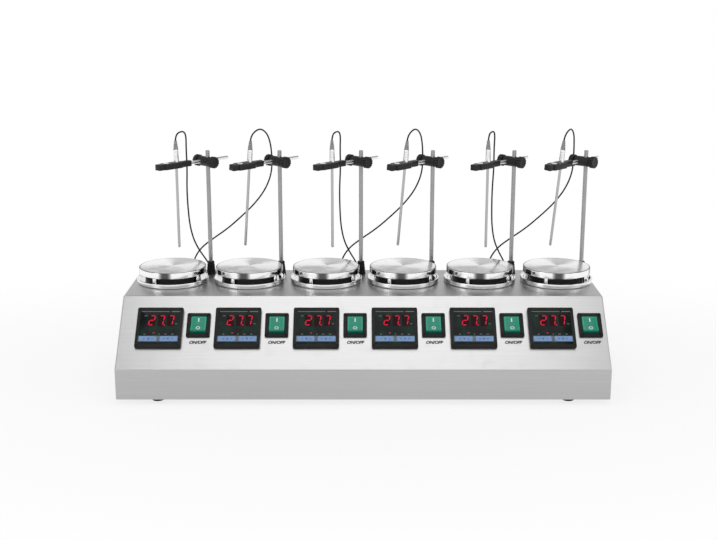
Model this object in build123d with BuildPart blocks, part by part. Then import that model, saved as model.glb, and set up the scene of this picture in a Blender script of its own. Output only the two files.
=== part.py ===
from build123d import *
from math import cos, pi, radians, sin, tan
import os

os.makedirs("parts", exist_ok=True)

# Frame: origin on the table under the middle of the whole outline, with the cross rods' tails.
# X runs along the row of stations, and the controls face -Y.

# Row of stations, counted from the left
stations = 6
station_pitch = 128.0
row_shift = 3.0  # the plates stand a little right of the housing's middle

# Housing, folded from stainless sheet
body_width = 765.0
sheet = 1.5
foot_height = 9.0
skirt_height = 48.0
slope_run = 98.0
slope_rise = 91.0
panel_depth = 167.0
fold_radius = 3.0
end_radius = 2.0
seat_gap = 0.2  # between a loose piece and the piece around it
running_gap = 0.05  # radial, between a shaft and its bore

# Base tray, rear panel and feet
tray_rim = 12.0
rear_rim = 12.0
foot_radius = 11.0
foot_taper = 1.5
foot_inset_x = 61.5
foot_inset_y = 26.0
foot_stem_radius = 3.0
foot_barb_radius = 4.0
vent_slot_length = 34.0
vent_slot_width = 4.0
vent_slot_pitch = 11.0
vent_slots = 7
vent_z = 62.0

# Hot plates, their heater cups, drip rings and posts
plate_setback = 96.0  # from the upper fold to the plates' centres
plate_radius = 55.5
plate_thickness = 10.0
plate_gap = 8.0  # open height between a drip ring and its plate
plate_rim_width = 10.5
plate_recess = 4.0
plate_edge_round = 1.2
ring_radius = 59.5
ring_height = 8.0
ring_lip = 3.0
ring_floor = 5.0
ring_undercut = 2.0
cup_radius = 45.5
heater_gap = 0.3
post_circle = 50.0
post_radius = 3.25
post_stud_radius = 2.0
post_stud_up = 5.0
post_stud_down = 8.0
posts_per_plate = 4
post_angle = -118.0  # the front left post, from +X

# Stirring motors and magnet rotors under the top panel
motor_radius = 25.0
motor_height = 42.0
motor_round = 2.0
motor_boss_radius = 9.0
motor_boss_height = 3.0
motor_shaft_radius = 2.5
motor_shaft_depth = 12.0  # how far the rotor's shaft reaches into the motor
rotor_top_gap = 3.0  # from the panel's underside to the rotor
rotor_radius = 29.0
rotor_thickness = 5.0
rotor_hub_radius = 8.0
rotor_hub_length = 7.0
magnet_radius = 7.0
magnet_height = 4.0
magnet_circle = 19.0
bracket_width = 30.0
bracket_span = 84.0
bracket_foot = 12.0
bracket_sheet = 2.0
bracket_gap = 4.0  # from the rotor's hub down to the bracket

# Temperature controllers in the sloping face
display_pitch = 123.0
display_shift = -12.0
display_up = 73.5  # centre, along the slope from its lower fold
display_size = 72.0
display_cutout = 68.0
display_depth = 68.0
display_bezel = 5.0
display_bezel_round = 3.0
display_frame = 4.5
display_glass = 2.0

# Rocker switches in the sloping face
switch_right = 61.0  # from its display's centre
switch_up = 79.0
switch_width = 37.0
switch_length = 43.0
switch_cutout_width = 33.0
switch_cutout_length = 39.0
switch_bezel = 3.0
switch_bezel_round = 2.5
switch_depth = 26.0
rocker_width = 24.0
rocker_length = 29.0
rocker_side_gap = 0.6
rocker_end_gap = 1.6
rocker_tip = 5.0  # how far its ends stand above the sloping face when level
rocker_waist = 2.6
rocker_bottom = 7.0
rocker_tilt = 8.0  # to each side
rocker_pin_radius = 1.5
rocker_pin_length = 2.0
rocker_pivot = -1.5
rocker_pocket = 12.0

# Stand rods and boots
rod_right = (58.0, 50.0)  # from the plate's centre, on odd and on even stations
rod_behind = 48.0
rod_radius = 3.5
rod_height = 212.0
rod_tip_round = 1.5
rod_stud_radius = 3.0
rod_stud_length = 14.0
rod_nut_width = 10.0
rod_nut_height = 5.0
boot_height = 22.0
boot_base_radius = 8.0
boot_top_radius = 5.8
boot_ribs = 4
boot_groove = 0.8

# Boss heads: one bore for the stand rod, one across it for the arm
boss_height = 193.0  # the arm's axis above the top panel
boss_radius = 8.25
boss_end = 8.5  # from each bore's axis to the body's end
boss_round = 2.0
arm_offset = 11.0  # between the two bores
knob_radius = 9.75
knob_thickness = 8.0
knob_standoff = 1.5
knob_flutes = 14
knob_flute_radius = 1.1
knob_screw_radius = 2.5
knob_chamfer = 1.0

# Probe arms: a cross rod with the probe holder on its front end
arm_heading = 227.0  # from +X, towards the front left
arm_turn = (0.0, -6.0)  # lean of the probe about the arm, on odd and on even stations
arm_radius = 3.0
arm_tail = 53.0
arm_into_holder = 12.0
arm_chamfer = 0.6
holder_near = 29.0
holder_far = 97.0
holder_height = 9.5
holder_neck_width = 9.0
holder_width = 17.0
holder_end_width = 12.0
holder_end_length = 11.0
holder_flare = (45.0, 52.0)  # where the neck widens to the holes
holder_round = 1.0
probe_along = 58.0  # from the boss head's middle to the probe, along the arm
spare_along = 79.0  # to the holder's free hole
spare_radius = 4.0
lip_wall = 0.8
lip_rise = 0.8
lip_depth = 3.0

# Probes
probe_length = 139.0  # from the arm's axis down to the tip
stem_radius = 2.25
handle_radius = 4.35
handle_length = 23.0
handle_seat = 2.0  # how deep the handle sits in the holder
handle_grooves = 3
handle_groove = 0.5
relief_radius = 3.9
relief_top_radius = 2.2
relief_length = 15.0

# Rear controls: speed knobs, probe sockets and mains inlet
pot_z = 62.0
pot_right = -24.0  # from the station's centre
pot_radius = 8.5
pot_depth = 9.0
pot_bush_radius = 4.5
pot_bush_length = 6.0
pot_nut_width = 13.0
pot_nut_height = 2.0
pot_shaft_radius = 3.0
pot_shaft_depth = 5.0  # how far the knob's shaft reaches into the potentiometer
dial_gap = 1.0
dial_radius = 12.0
dial_top_radius = 9.5
dial_length = 15.0
dial_flutes = 16
dial_flute_radius = 0.9
dial_bore_depth = 10.0
dial_mark_width = 1.2
dial_mark_length = 7.0
dial_mark_depth = 0.6
socket_z = 106.0
socket_shift = (-3.0, -37.0)  # of each pair, from the odd station's rod
socket_radius = 10.0
socket_flange = 2.0
socket_barrel_radius = 5.5
socket_barrel_length = 6.0
socket_body_radius = 7.0
socket_depth = 14.0
plug_radius = 7.5
plug_length = 17.0
plug_neck_radius = 4.2
plug_neck_top_radius = 2.4
plug_neck_height = 17.0
plug_chamfer = 1.0
plug_entry = 11.5  # from the rear panel to the cable's axis
inlet_right = 347.0  # from the housing's middle
inlet_z = 64.0
inlet_width = 50.0
inlet_height = 58.0
inlet_flange = 3.0
inlet_cavity_width = 27.0
inlet_cavity_height = 19.0
inlet_cavity_depth = 17.0
inlet_body_depth = 24.0
inlet_body_inset = 5.0
inlet_round = 4.0
inlet_corner = 5.0
inlet_rise = 9.0  # the cavity's centre above the module's centre
inlet_pin_width = 4.0
inlet_pin_height = 2.0
inlet_pin_length = 11.0
inlet_pin_pitch = 7.0
fuse_width = 24.0
fuse_height = 9.0
fuse_proud = 2.0
fuse_drop = 17.0

# Power supply on the base tray
board_width = 210.0
board_depth = 78.0
board_thickness = 1.6
board_standoff = 6.0
board_leg_radius = 3.0
board_inset = 10.0
transformer_radius = 24.0
transformer_hole_radius = 7.0
transformer_height = 22.0
heatsink_width = 60.0
heatsink_fins = 7
heatsink_height = 24.0
heatsink_depth = 40.0
heatsink_base = 4.0

# Probe cables
cable_radius = 1.3
cable_fillet = 0.45  # share of the shorter run that each bend's arc takes up
# Points from the probe's strain relief to its plug, from the foot of the station's stand rod
cable_routes = (
    [
        (-47.6, -34.9, 233.85),
        (-47.2, -34.4, 240.5),
        (-44.5, -28.0, 249.0),
        (-37.0, -15.0, 251.0),
        (-34.0, -6.5, 241.0),
        (-34.8, -5.5, 216.0),
        (-34.2, -5.6, 183.0),
        (-36.0, -5.0, 148.0),
        (-35.6, -2.0, 114.0),
        (-34.0, 2.5, 83.0),
        (-29.0, 9.0, 56.0),
        (-20.0, 16.0, 35.0),
        (-9.5, 25.0, 16.0),
        (-3.5, 32.5, 0.0),
        (-3.0, 34.5, -14.0),
        (-3.0, 34.5, -25.0),
    ],
    [
        (-44.5, -37.9, 233.65),
        (-43.9, -38.3, 241.0),
        (-38.0, -31.0, 252.0),
        (-29.0, -14.0, 256.0),
        (-21.0, 8.0, 243.0),
        (-17.0, 25.0, 222.0),
        (-15.0, 32.5, 196.0),
        (-16.0, 33.5, 168.0),
        (-27.0, 33.5, 140.0),
        (-46.0, 32.5, 115.0),
        (-69.0, 31.5, 93.0),
        (-93.0, 31.0, 72.0),
        (-119.0, 31.5, 54.0),
        (-140.0, 32.0, 38.0),
        (-152.5, 33.0, 19.0),
        (-156.5, 34.5, 0.0),
        (-157.0, 34.5, -13.0),
        (-157.0, 34.5, -25.0),
    ],
)

# Places that follow from the sizes above
depth = slope_run + panel_depth
station_numbers = range(1, stations + 1)
parity = [(n + 1) % 2 for n in station_numbers]
row_offsets = [n - (stations + 1) / 2 for n in station_numbers]
arm_side = (sin(radians(arm_heading)), -cos(radians(arm_heading)))  # from stand rod to cross rod
tail_end = arm_tail - arm_chamfer
tail_right = arm_offset * arm_side[0] + tail_end * arm_side[1] - arm_radius * arm_side[0]
tail_back = arm_offset * arm_side[1] - tail_end * arm_side[0] + arm_radius * arm_side[1]
last_rod = row_shift + row_offsets[-1] * station_pitch + rod_right[parity[-1]]
housing_x = (body_width / 2 - last_rod - tail_right) / 2
front_y = -(slope_run + plate_setback + rod_behind + tail_back) / 2
fold_y = front_y + slope_run
rear_y = front_y + depth
skirt_z = foot_height + skirt_height
panel_z = skirt_z + slope_rise
plate_y = fold_y + plate_setback
ring_top_z = panel_z + ring_height
plate_z = ring_top_z + plate_gap
rod_y = plate_y + rod_behind
boss_z = panel_z + boss_height
station_x = [housing_x + row_shift + offset * station_pitch for offset in row_offsets]
display_x = [housing_x + display_shift + offset * display_pitch for offset in row_offsets]
rod_x = [x + rod_right[odd_even] for x, odd_even in zip(station_x, parity)]
plate_places = [(x, plate_y, 0) for x in station_x]
rod_places = [(x, rod_y, 0) for x in rod_x]
switch_x = [x + switch_right for x in display_x]
inlet_x = housing_x + inlet_right
pot_x = [x + pot_right for x in station_x]
socket_x = [rod_x[i - parity[i]] + socket_shift[parity[i]] for i in range(stations)]

top_plane = Plane.XY.offset(panel_z)
slope_plane = Plane(origin=(0, front_y, skirt_z), x_dir=(1, 0, 0), z_dir=(0, -slope_rise, slope_run))
rear_plane = Plane(origin=(0, rear_y, 0), x_dir=(-1, 0, 0), z_dir=(0, 1, 0))


def save(piece, label):
    """Name a finished piece and write it as its own file."""
    piece.part.label = label
    export_step(piece.part, f"parts/{label}.step")


def arm_plane(i, turn=0.0):
    """Station i's arm frame: origin where the two bores pass, X out along the arm, Z up."""
    origin = (rod_x[i] + arm_offset * arm_side[0], rod_y + arm_offset * arm_side[1], boss_z)
    upright = Plane(origin=origin, x_dir=(-arm_side[1], arm_side[0], 0), z_dir=(0, 0, 1))
    return Plane(upright.location * Location((0, 0, 0), (turn, 0, 0)))


# Housing cover: one sheet wraps the skirt, the slope and the top, with welded ends.
with BuildPart() as housing_cover:
    with BuildSketch(Plane.YZ.offset(housing_x)):
        with BuildLine():
            Polyline(
                (front_y, foot_height),
                (front_y, skirt_z),
                (fold_y, panel_z),
                (rear_y, panel_z),
                (rear_y, foot_height),
                close=True,
            )
        make_face()
        folds = vertices().filter_by(lambda v: v.Y > foot_height + 1 and v.X < rear_y - 1)
        fillet(folds, fold_radius)
    extrude(amount=body_width / 2, both=True)
    ends = housing_cover.faces().filter_by(Axis.X).edges()
    fillet(
        ends.filter_by(lambda e: e.center().Z > foot_height + 1 and e.center().Y < rear_y - 1),
        end_radius,
    )
    offset(
        amount=-sheet,
        openings=[
            housing_cover.faces().sort_by(Axis.Z)[0],
            housing_cover.faces().sort_by(Axis.Y)[-1],
        ],
    )
    with BuildSketch(slope_plane):
        with Locations(*[(x, display_up) for x in display_x]):
            Rectangle(display_cutout, display_cutout)
        with Locations(*[(x, switch_up) for x in switch_x]):
            Rectangle(switch_cutout_width, switch_cutout_length)
    extrude(amount=2 * sheet, both=True, mode=Mode.SUBTRACT)
    with BuildSketch(top_plane):
        with Locations(*[(x, plate_y) for x in station_x]):
            with PolarLocations(post_circle, posts_per_plate, start_angle=post_angle):
                Circle(post_stud_radius + seat_gap)
        with Locations(*[(x, rod_y) for x in rod_x]):
            Circle(rod_stud_radius + seat_gap)
    extrude(amount=2 * sheet, both=True, mode=Mode.SUBTRACT)
save(housing_cover, "housing_cover")

# Rear panel: a shallow pan that closes the back inside the cover's edges.
rear_width = body_width - 2 * (sheet + seat_gap)
rear_height = skirt_height + slope_rise - sheet - seat_gap
vent_x = [x + station_pitch / 2 for x in pot_x[:-1]]
inlet_body_width = inlet_width - 2 * inlet_body_inset
inlet_body_height = inlet_height - 2 * inlet_body_inset
with BuildPart() as rear_panel:
    with BuildSketch(rear_plane):
        with Locations((-housing_x, foot_height + rear_height / 2)):
            Rectangle(rear_width, rear_height)
    extrude(amount=-rear_rim)
    offset(amount=-sheet, openings=rear_panel.faces().sort_by(Axis.Y)[0])
    with BuildSketch(rear_plane):
        with Locations(*[(-x, pot_z) for x in pot_x]):
            Circle(pot_bush_radius + seat_gap)
        with Locations(*[(-x, socket_z) for x in socket_x]):
            Circle(socket_body_radius + seat_gap)
        with Locations((-inlet_x, inlet_z)):
            Rectangle(inlet_body_width + 2 * seat_gap, inlet_body_height + 2 * seat_gap)
        with Locations(*[(-x, vent_z) for x in vent_x]):
            with GridLocations(vent_slot_pitch, 1, vent_slots, 1):
                SlotOverall(vent_slot_length, vent_slot_width, rotation=90)
    extrude(amount=-2 * sheet, mode=Mode.SUBTRACT)
save(rear_panel, "rear_panel")

# Base tray: the floor of the housing, with turned-up rims inside the cover.
tray_width = body_width - 2 * (sheet + seat_gap)
tray_depth = depth - sheet - rear_rim - 2 * seat_gap
tray_y = front_y + sheet + seat_gap + tray_depth / 2
foot_x = body_width / 2 - foot_inset_x
foot_places = [
    (housing_x + side * foot_x, y)
    for side in (-1, 1)
    for y in (front_y + foot_inset_y, rear_y - foot_inset_y)
]
with BuildPart() as base_tray:
    with BuildSketch(Plane.XY.offset(foot_height)):
        with Locations((housing_x, tray_y)):
            Rectangle(tray_width, tray_depth)
    extrude(amount=tray_rim)
    offset(amount=-sheet, openings=base_tray.faces().sort_by(Axis.Z)[-1])
    with BuildSketch(Plane.XY.offset(foot_height)):
        with Locations(*foot_places):
            Circle(foot_stem_radius + seat_gap)
    extrude(amount=2 * sheet, mode=Mode.SUBTRACT)
save(base_tray, "base_tray")

# Feet: soft rubber buttons whose barbed stems snap through the tray.
with BuildPart() as foot:
    with BuildSketch(Plane.XZ):
        with BuildLine():
            Polyline(
                (0, 0),
                (foot_radius - foot_taper, 0),
                (foot_radius, foot_height),
                (foot_stem_radius, foot_height),
                (foot_stem_radius, foot_height + sheet + seat_gap),
                (foot_barb_radius, foot_height + sheet + seat_gap),
                (foot_stem_radius, foot_height + 3 * sheet),
                (0, foot_height + 3 * sheet),
                close=True,
            )
        make_face()
    revolve(axis=Axis.Z)
with BuildPart() as rubber_feet:
    with Locations(*[(x, y, 0) for x, y in foot_places]):
        add(foot.part)
save(rubber_feet, "rubber_feet")

# Hot plates: turned steel caps, thick at the rim where the posts screw in.
with BuildPart() as plate_blank:
    with BuildSketch(Plane.XZ):
        with BuildLine():
            Polyline(
                (0, plate_z + plate_recess),
                (plate_radius - plate_rim_width, plate_z + plate_recess),
                (plate_radius - plate_rim_width, plate_z),
                (plate_radius, plate_z),
                (plate_radius, plate_z + plate_thickness),
                (0, plate_z + plate_thickness),
                close=True,
            )
        make_face()
        fillet(vertices().sort_by(SortBy.DISTANCE)[-1], plate_edge_round)
    revolve(axis=Axis.Z)
    with BuildSketch(Plane.XY.offset(plate_z)):
        with PolarLocations(post_circle, posts_per_plate, start_angle=post_angle):
            Circle(post_stud_radius + running_gap)
    extrude(amount=post_stud_up + seat_gap, mode=Mode.SUBTRACT)
with BuildPart() as hot_plates:
    with Locations(*plate_places):
        add(plate_blank.part)
save(hot_plates, "hot_plates")

# Drip rings: bright dishes on the top panel that catch what runs off the plates.
with BuildPart() as ring_blank:
    with BuildSketch(Plane.XZ):
        with BuildLine():
            Polyline(
                (0, panel_z),
                (ring_radius - ring_undercut, panel_z),
                (ring_radius, panel_z + ring_undercut),
                (ring_radius, ring_top_z),
                (ring_radius - ring_lip, ring_top_z),
                (ring_radius - 2 * ring_lip, panel_z + ring_floor),
                (0, panel_z + ring_floor),
                close=True,
            )
        make_face()
    revolve(axis=Axis.Z)
    with BuildSketch(top_plane):
        with PolarLocations(post_circle, posts_per_plate, start_angle=post_angle):
            Circle(post_stud_radius + running_gap)
    extrude(amount=ring_height, mode=Mode.SUBTRACT)
with BuildPart() as drip_rings:
    with Locations(*plate_places):
        add(ring_blank.part)
save(drip_rings, "drip_rings")

# Heater cups: black cans that press each plate's heater up into its recess.
with BuildPart() as cup_blank:
    with BuildSketch(Plane.XZ):
        with BuildLine():
            Polyline(
                (0, panel_z + ring_floor),
                (cup_radius, panel_z + ring_floor),
                (cup_radius, plate_z),
                (plate_radius - plate_rim_width - heater_gap, plate_z),
                (plate_radius - plate_rim_width - heater_gap, plate_z + plate_recess),
                (0, plate_z + plate_recess),
                close=True,
            )
        make_face()
    revolve(axis=Axis.Z)
with BuildPart() as heater_cups:
    with Locations(*plate_places):
        add(cup_blank.part)
save(heater_cups, "heater_cups")

# Support posts: shouldered pillars with a stud up into the plate and one down through the panel.
with BuildPart() as post_blank:
    with BuildSketch(Plane.XZ):
        with BuildLine():
            Polyline(
                (0, panel_z - post_stud_down),
                (post_stud_radius, panel_z - post_stud_down),
                (post_stud_radius, panel_z + ring_floor),
                (post_radius, panel_z + ring_floor),
                (post_radius, plate_z),
                (post_stud_radius, plate_z),
                (post_stud_radius, plate_z + post_stud_up),
                (0, plate_z + post_stud_up),
                close=True,
            )
        make_face()
    revolve(axis=Axis.Z)
with BuildPart() as support_posts:
    with Locations(*plate_places):
        with PolarLocations(post_circle, posts_per_plate, start_angle=post_angle):
            add(post_blank.part)
save(support_posts, "support_posts")

# Stirring motors: each hangs in a hat-shaped bracket under its plate.
rotor_top_z = panel_z - sheet - rotor_top_gap
rotor_disc_z = rotor_top_z - magnet_height
hub_bottom_z = rotor_disc_z - rotor_thickness - rotor_hub_length
bracket_top_z = hub_bottom_z - bracket_gap
motor_top_z = bracket_top_z - bracket_sheet
with BuildPart() as motor_can:
    with BuildSketch(Plane.XZ):
        with BuildLine():
            Polyline(
                (0, motor_top_z - motor_height),
                (motor_radius, motor_top_z - motor_height),
                (motor_radius, motor_top_z),
                (motor_boss_radius, motor_top_z),
                (motor_boss_radius, motor_top_z + motor_boss_height),
                (0, motor_top_z + motor_boss_height),
                close=True,
            )
        make_face()
        fillet(vertices().filter_by(lambda v: v.X > motor_radius - 1), motor_round)
    revolve(axis=Axis.Z)
    with BuildSketch(Plane.XY.offset(motor_top_z + motor_boss_height)):
        Circle(motor_shaft_radius + running_gap)
    bore_depth = motor_boss_height + motor_shaft_depth + seat_gap
    extrude(amount=-bore_depth, mode=Mode.SUBTRACT)
with BuildPart() as motor_bracket:
    with BuildSketch(Plane.XZ):
        with BuildLine():
            Polyline(
                (0, motor_top_z + running_gap),
                (bracket_span / 2, motor_top_z + running_gap),
                (bracket_span / 2, panel_z - sheet - bracket_sheet),
                (bracket_span / 2 + bracket_foot, panel_z - sheet - bracket_sheet),
                (bracket_span / 2 + bracket_foot, panel_z - sheet),
                (bracket_span / 2 - bracket_sheet, panel_z - sheet),
                (bracket_span / 2 - bracket_sheet, bracket_top_z),
                (0, bracket_top_z),
            )
            mirror(about=Plane.YZ)
        make_face()
    extrude(amount=bracket_width / 2, both=True)
    with BuildSketch(Plane.XY.offset(motor_top_z)):
        Circle(motor_boss_radius + seat_gap)
    extrude(amount=bracket_sheet, mode=Mode.SUBTRACT)
with BuildPart() as stirrer_motors:
    with Locations(*plate_places):
        add(motor_can.part)
        add(motor_bracket.part)
save(stirrer_motors, "stirrer_motors")

# Magnet rotors: a disc with two magnets on the motor's shaft, just under the top panel.
shaft_bottom_z = motor_top_z - motor_shaft_depth
with BuildPart() as rotor_blank:
    with BuildSketch(Plane.XZ):
        with BuildLine():
            Polyline(
                (0, shaft_bottom_z),
                (motor_shaft_radius, shaft_bottom_z),
                (motor_shaft_radius, hub_bottom_z),
                (rotor_hub_radius, hub_bottom_z),
                (rotor_hub_radius, rotor_disc_z - rotor_thickness),
                (rotor_radius, rotor_disc_z - rotor_thickness),
                (rotor_radius, rotor_disc_z),
                (0, rotor_disc_z),
                close=True,
            )
        make_face()
    revolve(axis=Axis.Z)
with BuildPart() as rotor_magnets:
    with BuildSketch(Plane.XY.offset(rotor_disc_z + running_gap)):
        with PolarLocations(magnet_circle, 2):
            Circle(magnet_radius)
    extrude(amount=magnet_height)
for n, place in zip(station_numbers, plate_places):
    with BuildPart() as magnet_rotor:
        with Locations(place):
            add(rotor_blank.part)
            add(rotor_magnets.part)
    save(magnet_rotor, f"magnet_rotor_{n}")

# Temperature controllers: a square case pushed through the slope, with a dark pane in its bezel.
case_size = display_cutout - 2 * seat_gap
pane_size = display_size - 2 * display_frame
with BuildPart() as controller_case:
    with BuildSketch():
        RectangleRounded(display_size, display_size, display_bezel_round)
    extrude(amount=display_bezel)
    chamfer(controller_case.faces().sort_by(Axis.Z)[-1].edges(), 1.0)
    with BuildSketch(Plane.XY.offset(display_bezel)):
        Rectangle(pane_size, pane_size)
    extrude(amount=-display_glass - seat_gap, mode=Mode.SUBTRACT)
    with BuildSketch():
        Rectangle(case_size, case_size)
    extrude(amount=-display_depth)
with BuildPart() as controller_pane:
    with BuildSketch(Plane.XY.offset(display_bezel - seat_gap + running_gap)):
        Rectangle(pane_size - 2 * running_gap, pane_size - 2 * running_gap)
    extrude(amount=-display_glass)
with BuildPart(slope_plane) as temperature_controllers:
    with Locations(*[(x, display_up, 0) for x in display_x]):
        add(controller_case.part)
        add(controller_pane.part)
save(temperature_controllers, "temperature_controllers")

# Switch frames: snap-in bodies with a pocket for the rocker and a bore for its pins.
pocket_width = rocker_width + 2 * rocker_side_gap
pocket_length = rocker_length + 2 * rocker_end_gap
pin_reach = rocker_width / 2 + rocker_side_gap + rocker_pin_length
with BuildPart() as frame_blank:
    with BuildSketch():
        RectangleRounded(switch_width, switch_length, switch_bezel_round)
    extrude(amount=switch_bezel)
    chamfer(frame_blank.faces().sort_by(Axis.Z)[-1].edges(), 1.0)
    with BuildSketch():
        Rectangle(switch_cutout_width - 2 * seat_gap, switch_cutout_length - 2 * seat_gap)
    extrude(amount=-switch_depth)
    with BuildSketch(Plane.XY.offset(switch_bezel)):
        Rectangle(pocket_width, pocket_length)
    extrude(amount=-switch_bezel - rocker_pocket, mode=Mode.SUBTRACT)
    with BuildSketch(Plane.YZ):
        with Locations((0, rocker_pivot)):
            Circle(rocker_pin_radius + running_gap)
    extrude(amount=pin_reach + seat_gap, both=True, mode=Mode.SUBTRACT)
with BuildPart(slope_plane) as switch_frames:
    with Locations(*[(x, switch_up, 0) for x in switch_x]):
        add(frame_blank.part)
save(switch_frames, "switch_frames")

# Rockers: a shallow V on two pins, made about the pins' axis and tipped to ON.
with BuildPart() as rocker_blank:
    with BuildSketch(Plane.YZ):
        with BuildLine():
            Polyline(
                (0, rocker_waist - rocker_pivot),
                (rocker_length / 2, rocker_tip - rocker_pivot),
                (rocker_length / 2, 0),
                (rocker_length / 3, -rocker_bottom - rocker_pivot),
                (0, -rocker_bottom - rocker_pivot),
            )
            mirror(about=Plane.YZ)
        make_face()
    extrude(amount=rocker_width / 2, both=True)
    with BuildSketch(Plane.YZ):
        Circle(rocker_pin_radius)
    extrude(amount=pin_reach, both=True)
for n, x in zip(station_numbers, switch_x):
    on_place = slope_plane.location * Location((x, switch_up, rocker_pivot), (-rocker_tilt, 0, 0))
    with BuildPart() as rocker:
        with Locations(on_place):
            add(rocker_blank.part)
    save(rocker, f"rocker_{n}")

# Stand rods: round bars screwed down through the top panel with a nut below.
with BuildPart() as rod_blank:
    with BuildSketch(Plane.XZ):
        with BuildLine():
            Polyline(
                (0, panel_z - rod_stud_length),
                (rod_stud_radius, panel_z - rod_stud_length),
                (rod_stud_radius, panel_z),
                (rod_radius, panel_z),
                (rod_radius, panel_z + rod_height),
                (0, panel_z + rod_height),
                close=True,
            )
        make_face()
        fillet(vertices().sort_by(SortBy.DISTANCE)[-1], rod_tip_round)
    revolve(axis=Axis.Z)
with BuildPart() as rod_nut:
    with BuildSketch(Plane.XY.offset(panel_z - sheet)):
        RegularPolygon(rod_nut_width / 2, 6, major_radius=False)
        Circle(rod_stud_radius + running_gap, mode=Mode.SUBTRACT)
    extrude(amount=-rod_nut_height)
with BuildPart() as stand_rods:
    with Locations(*rod_places):
        add(rod_blank.part)
        add(rod_nut.part)
save(stand_rods, "stand_rods")

# Rod boots: tapered rubber sleeves with moulded ribs at the foot of each rod.
rib_pitch = boot_height / (boot_ribs + 1)
taper = (boot_base_radius - boot_top_radius) / boot_height
with BuildPart() as boot_blank:
    with BuildSketch(Plane.XZ):
        with BuildLine():
            Polyline(
                (rod_radius + running_gap, panel_z),
                (boot_base_radius, panel_z),
                (boot_top_radius, panel_z + boot_height),
                (rod_radius + running_gap, panel_z + boot_height),
                close=True,
            )
        make_face()
        for rib in range(1, boot_ribs + 1):
            rise = rib * rib_pitch
            with Locations((boot_base_radius - taper * rise, panel_z + rise)):
                Circle(boot_groove, mode=Mode.SUBTRACT)
    revolve(axis=Axis.Z)
with BuildPart() as rod_boots:
    with Locations(*rod_places):
        add(boot_blank.part)
save(rod_boots, "rod_boots")

# Boss heads: a stub of bar with crossed bores, and a fluted thumb screw at either end.
rod_bore = rod_radius + running_gap
arm_bore = arm_radius + running_gap
front_end = Plane.XZ.offset(-arm_offset - boss_end)
with BuildPart() as boss_body:
    with BuildSketch(front_end):
        Circle(boss_radius)
    extrude(amount=arm_offset + 2 * boss_end)
    fillet(boss_body.edges().filter_by(GeomType.CIRCLE), boss_round)
    with BuildSketch(Plane.XY):
        with Locations((0, arm_offset)):
            Circle(rod_bore)
    extrude(amount=boss_radius, both=True, mode=Mode.SUBTRACT)
    with BuildSketch(Plane.YZ):
        Circle(arm_bore)
    extrude(amount=boss_radius, both=True, mode=Mode.SUBTRACT)
    with BuildSketch(front_end):
        Circle(knob_screw_radius + running_gap)
    extrude(amount=boss_end, mode=Mode.SUBTRACT)
    with BuildSketch(Plane.XZ):
        Circle(knob_screw_radius + running_gap)
    extrude(amount=boss_end, mode=Mode.SUBTRACT)


def thumb_screw(reach):
    """A fluted knob that stands on z = 0, with a screw that reaches down from it."""
    with BuildPart() as screw:
        with BuildSketch():
            Circle(knob_radius)
        extrude(amount=knob_thickness)
        chamfer(screw.edges(), knob_chamfer)
        with BuildSketch():
            with PolarLocations(knob_radius, knob_flutes):
                Circle(knob_flute_radius)
        extrude(amount=knob_thickness, mode=Mode.SUBTRACT)
        with BuildSketch():
            Circle(knob_screw_radius)
        extrude(amount=-reach)
    return screw.part


rod_screw = thumb_screw(knob_standoff + boss_end - rod_bore)
arm_screw = thumb_screw(knob_standoff + boss_end - arm_bore)
rod_screw_plane = Plane((0, arm_offset + boss_end + knob_standoff, 0), z_dir=(0, 1, 0))
arm_screw_plane = Plane((0, -boss_end - knob_standoff, 0), z_dir=(0, -1, 0))
for i, n in enumerate(station_numbers):
    with BuildPart(arm_plane(i)) as boss_head:
        add(boss_body.part)
        with Locations(rod_screw_plane.location):
            add(rod_screw)
        with Locations(arm_screw_plane.location):
            add(arm_screw)
    save(boss_head, f"boss_head_{n}")

# Probe arms: a cross rod pressed into a holder with two holes, one with a bright lip.
holder_top = holder_height / 2
with BuildPart() as cross_rod:
    with BuildSketch(Plane.YZ.offset(-arm_tail)):
        Circle(arm_radius)
    extrude(amount=arm_tail + holder_near + arm_into_holder)
    chamfer(cross_rod.edges().filter_by(GeomType.CIRCLE), arm_chamfer)
with BuildPart() as holder:
    with BuildSketch(Plane.XY.offset(-holder_top)):
        with BuildLine():
            Polyline(
                (holder_near, 0),
                (holder_near, holder_neck_width / 2),
                (holder_flare[0], holder_neck_width / 2),
                (holder_flare[1], holder_width / 2),
                (holder_far - holder_end_length, holder_width / 2),
                (holder_far - holder_end_length, holder_end_width / 2),
                (holder_far, holder_end_width / 2),
                (holder_far, 0),
            )
            mirror(about=Plane.XZ)
        make_face()
        fillet(vertices().filter_by(lambda v: abs(v.Y) > 1), holder_round)
    extrude(amount=holder_height)
    with BuildSketch(Plane.YZ.offset(holder_near)):
        Circle(arm_bore)
    extrude(amount=arm_into_holder + running_gap, mode=Mode.SUBTRACT)
    with BuildSketch(Plane.XY.offset(holder_top)):
        with Locations((probe_along, 0)):
            Circle(handle_radius + running_gap)
    extrude(amount=-handle_seat, mode=Mode.SUBTRACT)
    with BuildSketch(Plane.XY.offset(holder_top)):
        with Locations((probe_along, 0)):
            Circle(stem_radius + seat_gap)
        with Locations((spare_along, 0)):
            Circle(spare_radius)
    extrude(amount=-holder_height, mode=Mode.SUBTRACT)
with BuildPart() as lip:
    with BuildSketch(Plane.XY.offset(holder_top + running_gap)):
        with Locations((spare_along, 0)):
            Circle(spare_radius + lip_wall)
            Circle(spare_radius - lip_wall, mode=Mode.SUBTRACT)
    extrude(amount=lip_rise)
    with BuildSketch(Plane.XY.offset(holder_top + running_gap)):
        with Locations((spare_along, 0)):
            Circle(spare_radius - running_gap)
            Circle(spare_radius - lip_wall, mode=Mode.SUBTRACT)
    extrude(amount=-lip_depth)
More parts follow.
